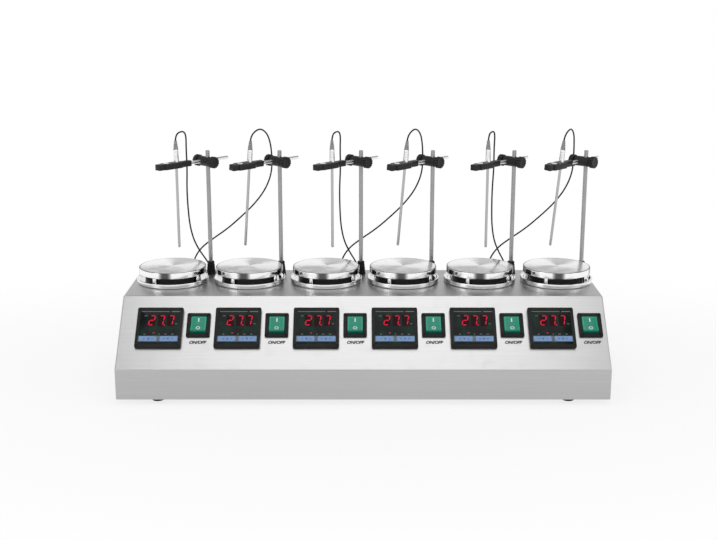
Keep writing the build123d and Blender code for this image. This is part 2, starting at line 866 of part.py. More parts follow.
for i, n in enumerate(station_numbers):
    with BuildPart(arm_plane(i, arm_turn[parity[i]])) as probe_arm:
        add(cross_rod.part)
        add(holder.part)
        add(lip.part)
    save(probe_arm, f"probe_arm_{n}")

# Probes: a closed steel stem, a grooved handle that hangs in the holder, and a soft strain relief.
handle_bottom = holder_top - handle_seat
handle_top = handle_bottom + handle_length
groove_pitch = handle_length / (handle_grooves + 3)
probe_axis = Plane.XZ.shift_origin((probe_along, 0, 0))
with BuildPart() as probe_blank:
    with BuildSketch(probe_axis):
        with BuildLine():
            Polyline(
                (0, -probe_length),
                (stem_radius, -probe_length),
                (stem_radius, handle_bottom),
                (handle_radius, handle_bottom),
                (handle_radius, handle_top),
                (0, handle_top),
                close=True,
            )
        make_face()
        fillet(vertices().sort_by(Axis.Y)[:2].sort_by(Axis.X)[-1], stem_radius - seat_gap)
        for groove in range(1, handle_grooves + 1):
            with Locations((handle_radius, handle_top - groove * groove_pitch)):
                Circle(handle_groove, mode=Mode.SUBTRACT)
    revolve(axis=Axis((probe_along, 0, 0), (0, 0, 1)))
with BuildPart() as relief:
    with BuildSketch(probe_axis):
        with BuildLine():
            Polyline(
                (0, handle_top + running_gap),
                (relief_radius, handle_top + running_gap),
                (relief_top_radius, handle_top + relief_length),
                (0, handle_top + relief_length),
                close=True,
            )
        make_face()
    revolve(axis=Axis((probe_along, 0, 0), (0, 0, 1)))
for i, n in enumerate(station_numbers):
    with BuildPart(arm_plane(i, arm_turn[parity[i]])) as probe:
        add(probe_blank.part)
        add(relief.part)
    save(probe, f"probe_{n}")

# Speed controls: a potentiometer inside the rear panel, held by a nut outside it.
shaft_bottom = -sheet - pot_shaft_depth
dial_bottom = pot_bush_length - sheet + dial_gap
with BuildPart() as pot_blank:
    with BuildSketch(Plane.XY.offset(-sheet)):
        Circle(pot_radius)
    extrude(amount=-pot_depth)
    with BuildSketch(Plane.XY.offset(-sheet)):
        Circle(pot_bush_radius)
    extrude(amount=pot_bush_length)
    with BuildSketch():
        RegularPolygon(pot_nut_width / 2, 6, major_radius=False)
    extrude(amount=pot_nut_height)
    with BuildSketch(Plane.XY.offset(shaft_bottom - seat_gap)):
        Circle(pot_shaft_radius + running_gap)
    extrude(amount=pot_bush_length + pot_shaft_depth + seat_gap, mode=Mode.SUBTRACT)
with BuildPart(rear_plane) as speed_controls:
    with Locations(*[(-x, pot_z, 0) for x in pot_x]):
        add(pot_blank.part)
save(speed_controls, "speed_controls")

# Speed knobs: fluted and tapered, with a pointer groove, pressed on the potentiometer's shaft.
with BuildPart() as dial_blank:
    with BuildSketch(Plane.XY.offset(dial_bottom)):
        Circle(dial_radius)
    with BuildSketch(Plane.XY.offset(dial_bottom + dial_length)):
        Circle(dial_top_radius)
    loft()
    with BuildSketch(Plane.XY.offset(dial_bottom)):
        with PolarLocations(dial_radius, dial_flutes):
            Circle(dial_flute_radius)
    extrude(amount=dial_length, mode=Mode.SUBTRACT)
    with BuildSketch(Plane.XY.offset(dial_bottom)):
        Circle(pot_shaft_radius + running_gap)
    extrude(amount=dial_bore_depth + running_gap, mode=Mode.SUBTRACT)
    with BuildSketch(Plane.XY.offset(dial_bottom + dial_length)):
        with Locations((0, dial_top_radius - dial_mark_length / 2)):
            Rectangle(dial_mark_width, dial_mark_length)
    extrude(amount=-dial_mark_depth, mode=Mode.SUBTRACT)
with BuildPart() as dial_shaft:
    with BuildSketch(Plane.XY.offset(shaft_bottom)):
        Circle(pot_shaft_radius)
    extrude(amount=dial_bottom + dial_bore_depth - shaft_bottom)
for n, x in zip(station_numbers, pot_x):
    with BuildPart(rear_plane) as speed_knob:
        with Locations((-x, pot_z, 0)):
            add(dial_blank.part)
            add(dial_shaft.part)
    save(speed_knob, f"speed_knob_{n}")

# Probe sockets in the rear panel, and the angled plugs on the cables' ends.
with BuildPart() as socket_blank:
    with BuildSketch(Plane.XZ):
        with BuildLine():
            Polyline(
                (0, -socket_depth),
                (socket_body_radius, -socket_depth),
                (socket_body_radius, 0),
                (socket_radius, 0),
                (socket_radius, socket_flange),
                (socket_barrel_radius, socket_flange),
                (socket_barrel_radius, socket_flange + socket_barrel_length),
                (0, socket_flange + socket_barrel_length),
                close=True,
            )
        make_face()
    revolve(axis=Axis.Z)
socket_places = [(-x, socket_z, 0) for x in socket_x]
with BuildPart(rear_plane) as probe_sockets:
    with Locations(*socket_places):
        add(socket_blank.part)
save(probe_sockets, "probe_sockets")

plug_axis = Plane((0, 0, plug_entry), x_dir=(1, 0, 0), z_dir=(0, 0, 1))
with BuildPart() as plug_blank:
    with BuildSketch(Plane.XY.offset(socket_flange)):
        Circle(plug_radius)
    extrude(amount=plug_length)
    chamfer(plug_blank.faces().sort_by(Axis.Z)[-1].edges(), plug_chamfer)
    with BuildSketch(plug_axis):
        with BuildLine():
            Polyline(
                (0, 0),
                (plug_neck_radius, 0),
                (plug_neck_radius, plug_radius + plug_chamfer),
                (plug_neck_top_radius, plug_neck_height),
                (0, plug_neck_height),
                close=True,
            )
        make_face()
    revolve(axis=Axis((0, 0, plug_entry), (0, 1, 0)))
    with BuildSketch(Plane.XY.offset(socket_flange)):
        Circle(socket_barrel_radius + running_gap)
    extrude(amount=socket_barrel_length + seat_gap, mode=Mode.SUBTRACT)
with BuildPart(rear_plane) as probe_plugs:
    with Locations(*socket_places):
        add(plug_blank.part)
save(probe_plugs, "probe_plugs")

# Mains inlet: a snap-in module with a three-pin socket above and a fuse drawer below.
cavity_floor = inlet_flange - inlet_cavity_depth
with BuildPart() as inlet_blank:
    with BuildSketch():
        RectangleRounded(inlet_width, inlet_height, inlet_round)
    extrude(amount=inlet_flange)
    with BuildSketch():
        Rectangle(inlet_body_width, inlet_body_height)
    extrude(amount=-inlet_body_depth)
    with BuildSketch(Plane.XY.offset(cavity_floor)):
        with Locations((0, inlet_rise)):
            Rectangle(inlet_cavity_width, inlet_cavity_height)
        chamfer(vertices().group_by(Axis.Y)[-1], inlet_corner)
    extrude(amount=inlet_cavity_depth, mode=Mode.SUBTRACT)
    with BuildSketch(Plane.XY.offset(cavity_floor)):
        with Locations((0, inlet_rise)):
            with GridLocations(inlet_pin_pitch, 1, 3, 1):
                Rectangle(inlet_pin_height, inlet_pin_width)
    extrude(amount=inlet_pin_length)
with BuildPart() as fuse_drawer:
    with BuildSketch(Plane.XY.offset(inlet_flange + running_gap)):
        with Locations((0, -fuse_drop)):
            RectangleRounded(fuse_width, fuse_height, fuse_proud)
    extrude(amount=fuse_proud)
with BuildPart(rear_plane) as power_inlet:
    with Locations((-inlet_x, inlet_z, 0)):
        add(inlet_blank.part)
        add(fuse_drawer.part)
save(power_inlet, "power_inlet")

# Power supply: a board on legs with a ring transformer and a finned heat sink.
board_z = foot_height + sheet + board_standoff
board_top = board_z + board_thickness
with BuildPart() as power_board:
    with BuildSketch(Plane.XY.offset(board_z)):
        with Locations((housing_x, plate_y)):
            Rectangle(board_width, board_depth)
    extrude(amount=board_thickness - running_gap)
    with BuildSketch(Plane.XY.offset(board_z - board_standoff)):
        with Locations((housing_x, plate_y)):
            with GridLocations(board_width - board_inset, board_depth - board_inset, 2, 2):
                Circle(board_leg_radius)
    extrude(amount=board_standoff - running_gap)
    with BuildSketch(Plane.XY.offset(board_top)):
        with Locations((housing_x - board_width / 4, plate_y)):
            Circle(transformer_radius)
            Circle(transformer_hole_radius, mode=Mode.SUBTRACT)
    extrude(amount=transformer_height)
    with BuildSketch(Plane.XY.offset(board_top)):
        with Locations((housing_x + board_width / 4, plate_y)):
            Rectangle(heatsink_width, heatsink_depth)
    extrude(amount=heatsink_height)
    fin_pitch = heatsink_width / heatsink_fins
    with BuildSketch(Plane.XY.offset(board_top + heatsink_base)):
        with Locations((housing_x + board_width / 4, plate_y)):
            with GridLocations(fin_pitch, 1, heatsink_fins - 1, 1):
                Rectangle(fin_pitch / 2, heatsink_depth)
    extrude(amount=heatsink_height - heatsink_base, mode=Mode.SUBTRACT)
save(power_board, "power_board")


def bend_radii(points):
    """One radius for each corner of a route, as large as its two runs allow."""
    radii = []
    for before, corner, after in zip(points, points[1:], points[2:]):
        run_in, run_out = Vector(corner) - Vector(before), Vector(after) - Vector(corner)
        half_turn = radians(run_in.get_angle(run_out)) / 2
        radii.append(cable_fillet * min(run_in.length, run_out.length) / tan(half_turn))
    return radii


# Probe cables: limp black leads that loop over from each probe and drop behind the housing.
for i, n in enumerate(station_numbers):
    rod_foot = (rod_x[i], rod_y, panel_z)
    points = [tuple(a + b for a, b in zip(rod_foot, p)) for p in cable_routes[parity[i]]]
    radii = bend_radii(points)
    with BuildPart() as probe_cable:
        with BuildLine() as route:
            FilletPolyline(*points, radius=radii)
        with BuildSketch(Plane(origin=points[0], z_dir=route.line % 0)):
            Circle(cable_radius)
        sweep(path=route.line)
    save(probe_cable, f"probe_cable_{n}")
    tube_length = sum(edge.length for edge in route.edges())
    tube_share = probe_cable.part.volume / (pi * cable_radius**2 * tube_length)
    print(f"probe cable {n}: {tube_length:.1f} mm long, volume over section times length {tube_share:.4f}")
    print("  bend radii", ", ".join(f"{radius:.1f}" for radius in radii))
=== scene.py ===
import math

import bmesh
import bpy
from mathutils import Matrix, Vector


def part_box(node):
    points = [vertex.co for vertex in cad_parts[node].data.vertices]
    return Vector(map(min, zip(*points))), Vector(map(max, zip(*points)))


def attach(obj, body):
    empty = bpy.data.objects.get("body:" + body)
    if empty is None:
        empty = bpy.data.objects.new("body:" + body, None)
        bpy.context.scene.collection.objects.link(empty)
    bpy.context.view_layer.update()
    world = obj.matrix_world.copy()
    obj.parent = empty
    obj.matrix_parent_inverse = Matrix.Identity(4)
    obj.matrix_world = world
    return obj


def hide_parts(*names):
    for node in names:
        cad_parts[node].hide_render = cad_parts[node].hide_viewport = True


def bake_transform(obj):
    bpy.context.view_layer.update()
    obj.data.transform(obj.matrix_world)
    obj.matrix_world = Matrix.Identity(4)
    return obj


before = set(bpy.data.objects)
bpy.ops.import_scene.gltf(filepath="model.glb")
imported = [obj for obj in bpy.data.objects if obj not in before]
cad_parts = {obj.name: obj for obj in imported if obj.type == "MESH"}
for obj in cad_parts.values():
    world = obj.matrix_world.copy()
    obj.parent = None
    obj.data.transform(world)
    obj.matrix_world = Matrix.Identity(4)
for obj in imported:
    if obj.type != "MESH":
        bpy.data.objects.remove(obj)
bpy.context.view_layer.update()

# The studio: a pale floor that runs out to white, soft lamps from above and both sides, and the
# camera at the photograph's place, 1.76 m in front of the housing's skirt and a little above it.
cover_low, cover_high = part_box("housing_cover")
housing_x = (cover_low.x + cover_high.x) / 2
front_y, rear_y, panel_z = cover_low.y, cover_high.y, cover_high.z
camera_aside, camera_back, camera_height, camera_tilt = -0.008, 1.763, 0.665, 14.3
camera = bpy.data.objects.new("camera", bpy.data.cameras.new("camera"))
camera.location = (housing_x + camera_aside, front_y - camera_back, camera_height)
camera.rotation_euler = (math.radians(90 - camera_tilt), 0, 0)
camera.data.lens = 60.84
camera.data.sensor_width = 36
bpy.context.scene.collection.objects.link(camera)
bpy.context.scene.camera = camera
bpy.context.scene.view_settings.view_transform = "Standard"


class Shade:
    """A value in a node tree; sums, products and other expressions of shades add their own nodes."""

    def __init__(self, tree, socket=None):
        self.tree, self.socket = tree, socket

    def node(self, kind, settings=None, inputs=None, output=0):
        """A new node: its settings first, then its sockets' values or links."""
        made = self.tree.nodes.new(kind)
        for key, value in (settings or {}).items():
            setattr(made, key, value)
        for key, value in (inputs or {}).items():
            if isinstance(value, Shade):
                self.tree.links.new(value.socket, made.inputs[key])
            else:
                made.inputs[key].default_value = value
        return Shade(self.tree, made.outputs[output])

    def math(self, operation, *values):
        """A Math node on these values, which are shades or numbers."""
        return self.node("ShaderNodeMath", {"operation": operation}, dict(enumerate(values)))

    def __add__(self, other):
        return self.math("ADD", self, other)

    def __sub__(self, other):
        return self.math("SUBTRACT", self, other)

    def __rsub__(self, other):
        return self.math("SUBTRACT", other, self)

    def __mul__(self, other):
        return self.math("MULTIPLY", self, other)

    def __truediv__(self, other):
        return self.math("DIVIDE", self, other)

    def __pow__(self, other):
        return self.math("POWER", self, other)

    def __gt__(self, other):
        return self.math("GREATER_THAN", self, other)

    def __abs__(self):
        return self.math("ABSOLUTE", self)

    __radd__ = __add__
    __rmul__ = __mul__

    def cosine(self):
        return self.math("COSINE", self)

    def least(self, other):
        return self.math("MINIMUM", self, other)

    def most(self, other):
        return self.math("MAXIMUM", self, other)

    def axis(self, index):
        return self.node("ShaderNodeSeparateXYZ", inputs={0: self}, output=index)

    def stretched(self, scale):
        return self.node("ShaderNodeVectorMath", {"operation": "MULTIPLY"}, {0: self, 1: scale})

    def noise(self, scale, detail=2.0, **settings):
        inputs = {"Scale": scale, "Detail": detail}
        inputs["W" if settings.get("noise_dimensions") == "1D" else "Vector"] = self
        return self.node("ShaderNodeTexNoise", settings, inputs)

    def fade(self, low, high):
        """0 below low and 1 above high, with a soft step between."""
        return self.node(
            "ShaderNodeMapRange",
            {"interpolation_type": "SMOOTHSTEP"},
            {"Value": self, "From Min": low, "From Max": high},
        )

    def mix(self, low, high):
        """The colour low where this shade is 0 and high where it is 1."""
        return self.node("ShaderNodeMix", {"data_type": "RGBA"}, {0: self, 6: low, 7: high}, 2)

    def bump(self, depth, strength=1.0):
        return self.node("ShaderNodeBump", inputs={"Height": self, "Distance": depth, "Strength": strength})


def grey(level, blue=0.0):
    return (level, level, level + blue, 1)


def new_finish(name, constants, build=None):
    """A material whose even properties sit on the shader, and whose varied ones build() works out."""
    finish = bpy.data.materials.new(name)
    finish.use_nodes = True
    tree = finish.node_tree
    shader = tree.nodes["Principled BSDF"]
    for key, value in constants.items():
        shader.inputs[key].default_value = value
    if build:
        place = Shade(tree).node("ShaderNodeTexCoord", output=3)
        for key, shade in build(place).items():
            tree.links.new(shade.socket, shader.inputs[key])
    return finish


floor_half = 6.0
floor_corners = [(x * floor_half, y * floor_half, 0) for x, y in ((-1, -1), (1, -1), (1, 1), (-1, 1))]
floor_finish = new_finish(
    "pale_floor", {"Base Color": grey(0.93), "Roughness": 0.8, "Specular IOR Level": 0.1}
)
floor_mesh = bpy.data.meshes.new("floor")
floor_mesh.from_pydata(floor_corners, [], [(0, 1, 2, 3)])
floor_mesh.materials.append(floor_finish)
floor = bpy.data.objects.new("floor", floor_mesh)
bpy.context.scene.collection.objects.link(floor)

# The floor keeps a quarter of its shading close to the object, so that a soft shadow stays, and
# turns to plain white further out, for rays that show it: straight, mirrored or through glass.
white_near, shade_reach, white_reach = 0.77, 0.22, 0.8
tree = floor_finish.node_tree
place = Shade(tree).node("ShaderNodeTexCoord", output=3)
straight, mirrored, through = [Shade(tree).node("ShaderNodeLightPath", output=n) for n in (0, 3, 6)]
seen = (straight + mirrored + through).least(1.0)
out = (place.axis(0) ** 2 * 0.4 + place.axis(1) ** 2) ** 0.5
whiteness = seen * (out.fade(shade_reach, white_reach) * (1 - white_near) + white_near)
white = out.node("ShaderNodeEmission", inputs={"Color": grey(1.0), "Strength": 1.0})
lit_floor = Shade(tree, tree.nodes["Principled BSDF"].outputs[0])
faded = white.node("ShaderNodeMixShader", inputs={0: whiteness, 1: lit_floor, 2: white})
tree.links.new(faded.socket, tree.nodes["Material Output"].inputs[0])

# The room is white at the height of the object and grey overhead, so that folds and tops differ.
world = bpy.data.worlds.new("studio")
world.use_nodes = True
bpy.context.scene.world = world
tree = world.node_tree
up = Shade(tree).node("ShaderNodeTexCoord", output=0).axis(2)
room = up.fade(0.12, 0.6).mix(grey(1.0), grey(0.36))
tree.links.new(room.socket, tree.nodes["Background"].inputs[0])
tree.nodes["Background"].inputs[1].default_value = 1.0

lamps = (  # name, place, aim, size in metres, watts
    ("lamp_top", (0.0, -0.35, 2.2), (0, 0, 0.2), 2.4, 23),
    ("lamp_left", (-2.0, -1.4, 1.3), (0, 0, 0.15), 1.0, 7),
    ("lamp_right", (2.1, -0.9, 1.4), (0, 0, 0.15), 1.0, 5),
)
for name, at, towards, size, watts in lamps:
    lamp = bpy.data.objects.new(name, bpy.data.lights.new(name, "AREA"))
    lamp.data.energy, lamp.data.size = watts, size
    lamp.location = at
    lamp.rotation_euler = (Vector(towards) - Vector(at)).to_track_quat("-Z", "Y").to_euler()
    bpy.context.scene.collection.objects.link(lamp)

# Housing cover: one brushed stainless sheet folded over the skirt, the slope and the top, with
# welded and dressed ends. It stands for the cover alone and has the sheet's real thickness.
skirt_z = 0.057
slope_run, slope_rise = 0.098, 0.091
foot_height = 0.009
sheet = 0.0015
fold_radius, end_radius = 0.003, 0.002
fold_steps = 6
slope_up = Vector((0, slope_run, slope_rise)).normalized()
slope_out = Vector((0, -slope_rise, slope_run)).normalized()


def brushed(along):
    """Stainless sheet with fine grain along one axis: X on the long faces, Y on the ends; painted shade
    darkens it below the skirt's top fold.
    """
    grain_scale = (5, 900, 900) if along == "x" else (900, 5, 900)

    def build(place):
        grain = place.stretched(grain_scale).noise(1.0, 3)
        fine = place.stretched([3 * s for s in grain_scale]).noise(1.0, 1)
        cloud = place.noise(9, 3)
        rubbed = place.noise(55, 4).fade(0.52, 0.75)
        tone = grain * 0.5 + fine * 0.3 + cloud * 0.2
        height = place.axis(2)
        # Painted shade: below the skirt's top fold the colour is darkened, more so towards the bottom.
        painted_skirt_shade = height.fade(skirt_z + 0.0005, skirt_z - 0.0015) * (1 - height / skirt_z * 0.25)
        return {
            "Base Color": (painted_skirt_shade * 0.30).mix(tone.mix(grey(0.47), grey(0.71)), grey(0.2)),
            "Roughness": 0.30 + tone * 0.14 + rubbed * 0.05,
            "Normal": (grain * 0.6 + fine * 0.4).bump(0.00005, 0.6),
        }

    return build


sheet_steel = new_finish("brushed_steel", {"Metallic": 1.0}, brushed("x"))
end_steel = new_finish("brushed_steel_ends_painted_shade", {"Metallic": 1.0}, brushed("y"))


def cover_profile(inset):
    """The wrap's outline in Y and Z, front edge to rear edge, moved inwards by inset."""
    corners = [
        Vector((front_y, foot_height)), Vector((front_y, skirt_z)),
        Vector((front_y + slope_run, panel_z)), Vector((rear_y, panel_z)),
    ]
    runs = [(b - a).normalized() for a, b in zip(corners, corners[1:])]
    inward = [Vector((run.y, -run.x)) for run in runs]
    outline = [corners[0] + inward[0] * inset]
    for i, corner in enumerate(corners[1:-1]):
        half = runs[i].angle(runs[i + 1]) / 2
        middle = (inward[i] + inward[i + 1]).normalized()
        centre = corner + middle * (fold_radius / math.cos(half))
        start = math.atan2(-inward[i].y, -inward[i].x)
        for step in range(fold_steps + 1):
            turn = start - 2 * half * step / fold_steps
            outline.append(centre + (fold_radius - inset) * Vector((math.cos(turn), math.sin(turn))))
    outline.append(corners[-1] + inward[-1] * inset)
    return outline


def add_piece(name, mesh, finishes, body, stands_for=()):
    """Put a mesh in the scene as a piece that moves with a body of the frame."""
    for finish in finishes:
        mesh.materials.append(finish)
    piece = bpy.data.objects.new(name, mesh)
    bpy.context.scene.collection.objects.link(piece)
    if body:
        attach(piece, body)
    if stands_for:
        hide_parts(*stands_for)
    return piece


def smooth(mesh, degrees=35):
    """Shade a mesh smoothly, with an edge wherever it turns by more than so many degrees."""
    mesh.shade_smooth()
    mesh.set_sharp_from_angle(angle=math.radians(degrees))
    return mesh


def evaluated(shaped):
    """The plain mesh that an object's modifiers make."""
    return bpy.data.meshes.new_from_object(shaped.evaluated_get(bpy.context.evaluated_depsgraph_get()))


cover_half = (cover_high.x - cover_low.x) / 2
end_steps = 4
solid = bmesh.new()
loops = []
for side in (-1, 1):
    quarter = [math.pi / 2 * step / end_steps for step in range(end_steps + 1)]
    rounds = [(end_radius * (1 - math.cos(a)), cover_half - end_radius * (1 - math.sin(a))) for a in quarter]
    for inset, x in (reversed(rounds) if side < 0 else rounds):
        loops.append([solid.verts.new((housing_x + side * x, y, z)) for y, z in cover_profile(inset)])
for loop, following in zip(loops, loops[1:]):
    for a, b, c, d in zip(loop, loop[1:], following[1:], following):
        solid.faces.new((a, b, c, d))
for loop, side in ((loops[0], -1), (loops[-1], 1)):
    corner = solid.verts.new((loop[0].co.x, rear_y, foot_height))
    end_face = solid.faces.new([*loop, corner])
    end_face.material_index = 1
bmesh.ops.recalc_face_normals(solid, faces=solid.faces)
cover_mesh = bpy.data.meshes.new("cover")
solid.to_mesh(cover_mesh)
solid.free()
shell = bpy.data.objects.new("shell", cover_mesh)
bpy.context.scene.collection.objects.link(shell)
wall = shell.modifiers.new("sheet", "SOLIDIFY")
wall.thickness = sheet
wall.offset = -1
sheet_mesh = evaluated(shell)
bpy.data.objects.remove(shell)
add_piece("cover", smooth(sheet_mesh, 25), [sheet_steel, end_steel], "housing",
          ["housing_cover"])

# Rear panel and base tray: flat sheet, the one brushed and the other zinc plated. They close the
# housing from behind and from below, and small pan-head screws hold the panel by its edge.


def refinish(node, finish):
    """Give a node of the frame its finish."""
    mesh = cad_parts[node].data
    mesh.materials.clear()
    mesh.materials.append(finish)


def zinc(place):
    spangle = place.noise(90, 4)
    return {
        "Base Color": spangle.mix(grey(0.42, 0.01), grey(0.6, 0.01)),
        "Roughness": 0.4 + spangle * 0.15,
    }


zinc_plate = new_finish("zinc_plate", {"Metallic": 1.0}, zinc)
# The rear panel takes the sheet's finish, and with it the painted shade low down.
refinish("rear_panel", sheet_steel)
refinish("base_tray", zinc_plate)


def new_tree(name, sockets):
    """A Geometry Nodes tree with named inputs, and those inputs as shades."""
    tree = bpy.data.node_groups.new(name, "GeometryNodeTree")
    tree.interface.new_socket("Geometry", in_out="OUTPUT", socket_type="NodeSocketGeometry")
    for label, kind in {"Geometry": "Geometry", **sockets, "Finish": "Material"}.items():
        tree.interface.new_socket(label, in_out="INPUT", socket_type=f"NodeSocket{kind}")
    given = tree.nodes.new("NodeGroupInput")
    return tree, {socket.name: Shade(tree, socket) for socket in given.outputs if socket.name}


def close_tree(tree, shape, finish):
    """End a tree: its instances made real and given their finish."""
    real = shape.node("GeometryNodeRealizeInstances", inputs={0: shape})
    done = real.node("GeometryNodeSetMaterial", inputs={"Geometry": real, "Material": finish})
    tree.links.new(done.socket, tree.nodes.new("NodeGroupOutput").inputs[0])


def grow(name, mesh, tree, values):
    """The plain mesh that a tree makes of a mesh, with the tree's named inputs set."""
    carrier = bpy.data.objects.new(name, mesh)
    bpy.context.scene.collection.objects.link(carrier)
    nodes = carrier.modifiers.new(name, "NODES")
    nodes.node_group = tree
    for socket in tree.interface.items_tree:
        if socket.in_out == "INPUT" and socket.name in values:
            nodes[socket.identifier] = values[socket.name]
    grown = evaluated(carrier)
    carrier.modifiers.remove(nodes)
    bpy.data.objects.remove(carrier)
    grown.materials.clear()
    return grown


# The tree that sets one pattern down at many places, each turned by its own attribute.
row_tree, row = new_tree("row_of_pieces", {"Pattern": "Object"})
pattern_shape = row["Pattern"].node(
    "GeometryNodeObjectInfo", {"transform_space": "ORIGINAL"}, {"Object": row["Pattern"]}, "Geometry"
)
turn = pattern_shape.node(
    "GeometryNodeInputNamedAttribute", {"data_type": "FLOAT_VECTOR"}, {"Name": "turn"}
)
turned_by = turn.node("FunctionNodeEulerToRotation", inputs={0: turn})
placed = turn.node(
    "GeometryNodeInstanceOnPoints",
    inputs={"Points": row["Geometry"], "Instance": pattern_shape, "Rotation": turned_by},
)
close_tree(row_tree, placed, row["Finish"])


def repeat(name, pattern, places, finish, stands_for=()):
    """Add a piece of the housing that is made of a pattern's copies, one at each place."""
    places = [Matrix.Translation(p) if isinstance(p, Vector) else p for p in places]
    points = bpy.data.meshes.new(name)
    points.from_pydata([place.to_translation() for place in places], [], [])
    turns = points.attributes.new("turn", "FLOAT_VECTOR", "POINT")
    for item, place in zip(turns.data, places):
        item.vector = place.to_euler()
    model = bpy.data.objects.new("pattern", pattern)
    bpy.context.scene.collection.objects.link(model)
    mesh = grow(name, points, row_tree, {"Pattern": model, "Finish": finish})
    bpy.data.objects.remove(model)
    add_piece(name, mesh, [finish], "housing", stands_for)


def eased(outline, ease, steps=3, closed=False):
    """An outline whose corners are rounded off over a length of ease to each side."""
    result = []
    count = len(outline)
    for i, corner in enumerate(outline):
        corner = Vector(corner)
        if not closed and i in (0, count - 1):
            result.append(corner)
            continue
        before, after = Vector(outline[i - 1]), Vector(outline[(i + 1) % count])
        start = corner + (before - corner).normalized() * min(ease, 0.45 * (before - corner).length)
        end = corner + (after - corner).normalized() * min(ease, 0.45 * (after - corner).length)
        for step in range(steps + 1):
            t = step / steps
            result.append(start * (1 - t) ** 2 + corner * 2 * t * (1 - t) + end * t**2)
    return result


def as_mesh(solid, name, place=None):
    """A finished mesh of a bmesh, with its normals outwards."""
    bmesh.ops.remove_doubles(solid, verts=solid.verts, dist=1e-6)
    bmesh.ops.recalc_face_normals(solid, faces=solid.faces)
    if place:
        solid.transform(place)
    mesh = bpy.data.meshes.new(name)
    solid.to_mesh(mesh)
    solid.free()
    return smooth(mesh)


def turned(name, profile, sides, place=None):
    """A round piece about Z, from a profile of radius and height that is closed by the axis."""
    solid = bmesh.new()
    rings = []
    for radius, height in profile:
        if radius < 1e-7:
            rings.append([solid.verts.new((0, 0, height))])
        else:
            rings.append([
                solid.verts.new((radius * math.cos(turn), radius * math.sin(turn), height))
                for turn in (2 * math.pi * side / sides for side in range(sides))
            ])
    for low, high in zip(rings, rings[1:]):
        for side in range(sides):
            after = (side + 1) % sides
            if len(low) == 1 and len(high) > 1:
                solid.faces.new((low[0], high[after], high[side]))
            elif len(high) == 1 and len(low) > 1:
                solid.faces.new((low[side], low[after], high[0]))
            elif len(low) > 1:
                solid.faces.new((low[side], low[after], high[after], high[side]))
    return as_mesh(solid, name, place)


screw_radius, screw_height, screw_sunk = 0.003, 0.0018, 0.0005
socket_radius, socket_floor = 0.3 * screw_radius, 0.4 * screw_height
screw_head = turned("screw_head", eased([
    (0, -screw_sunk), (screw_radius, -screw_sunk), (screw_radius, screw_height * 0.5),
    (screw_radius * 0.55, screw_height), (socket_radius, screw_height), (socket_radius, socket_floor),
    (0, socket_floor),
], 0.0003), 24)
to_rear = Matrix.Rotation(math.radians(-90), 4, "X")
screw_across = (-0.368, -0.246, -0.123, 0.0, 0.123, 0.246, 0.368)
screw_edge = 0.008
screw_places = [
    Matrix.Translation((housing_x + x, rear_y, z)) @ to_rear
    for x in screw_across
    for z in (foot_height + screw_edge, panel_z - screw_edge)
]
repeat("rear_screws", screw_head, screw_places, zinc_plate)

# Feet: four moulded rubber buttons, 22 mm across, that widen towards the housing. A barb on each
# is snapped up through a hole in the tray.
foot_inset_x, foot_inset_y = 0.0615, 0.026
sole_radius, foot_radius = 0.0095, 0.011
neck_radius, barb_radius, barb_height = 0.003, 0.004, 0.0045


def rubber(place):
    specks = place.noise(2200, 3)
    worn = place.noise(60, 3)
    return {
        "Base Color": worn.mix(grey(0.008), grey(0.02)),
        "Roughness": 0.42 + worn * 0.2,
        "Normal": specks.bump(0.00004),
    }


black_rubber = new_finish("black_rubber", {"Specular IOR Level": 0.15}, rubber)
foot_pattern = turned("foot", eased([
    (0, 0), (sole_radius, 0), (foot_radius, foot_height), (neck_radius, foot_height),
    (neck_radius, foot_height + sheet), (barb_radius, foot_height + sheet),
    (neck_radius, foot_height + barb_height), (0, foot_height + barb_height),
], 0.0006), 48)
foot_places = [
    Vector((housing_x + side * (cover_half - foot_inset_x), y, 0))
    for side in (-1, 1)
    for y in (front_y + foot_inset_y, rear_y - foot_inset_y)
]
repeat("feet", foot_pattern, foot_places, black_rubber, stands_for=["rubber_feet"])

# Hot plates: turned and polished steel caps, 111 mm across, with fine turning rings in their colour
# and bump. Light and dark wedges out from their middles are painted highlights, and dark patches
# round the rim and a dark ring on the rounded edge are painted reflections.
stations = range(1, 7)
station_pitch, row_shift = 0.128, 0.003
station_x = {n: housing_x + row_shift + (n - 3.5) * station_pitch for n in stations}
plate_behind_slope = 0.096
plate_y = front_y + slope_run + plate_behind_slope
plate_radius, plate_thickness = 0.0555, 0.010
ring_height, plate_gap = 0.008, 0.008
plate_z = panel_z + ring_height + plate_gap
plate_recess, plate_rim = 0.004, 0.0105
# Painted reflections: dark patches in the rim's colour, each at a heading round the rim.
painted_rim_reflections = ((-95, 0.975), (-14, 0.95), (-176, 0.94))  # round the rim: heading, and cosine at the edge
plate_places = [Vector((station_x[n], plate_y, 0)) for n in stations]


def about_plate(place):
    """Distance from and angle about the middle of the nearest plate."""
    along = (place.axis(0) - (station_x[1] - station_pitch / 2)) / station_pitch
    x = (along.math("FRACT", along) - 0.5) * station_pitch
    y = place.axis(1) - plate_y
    distance = (x * x + y * y) ** 0.5
    return distance, y.math("ARCTAN2", y, x)


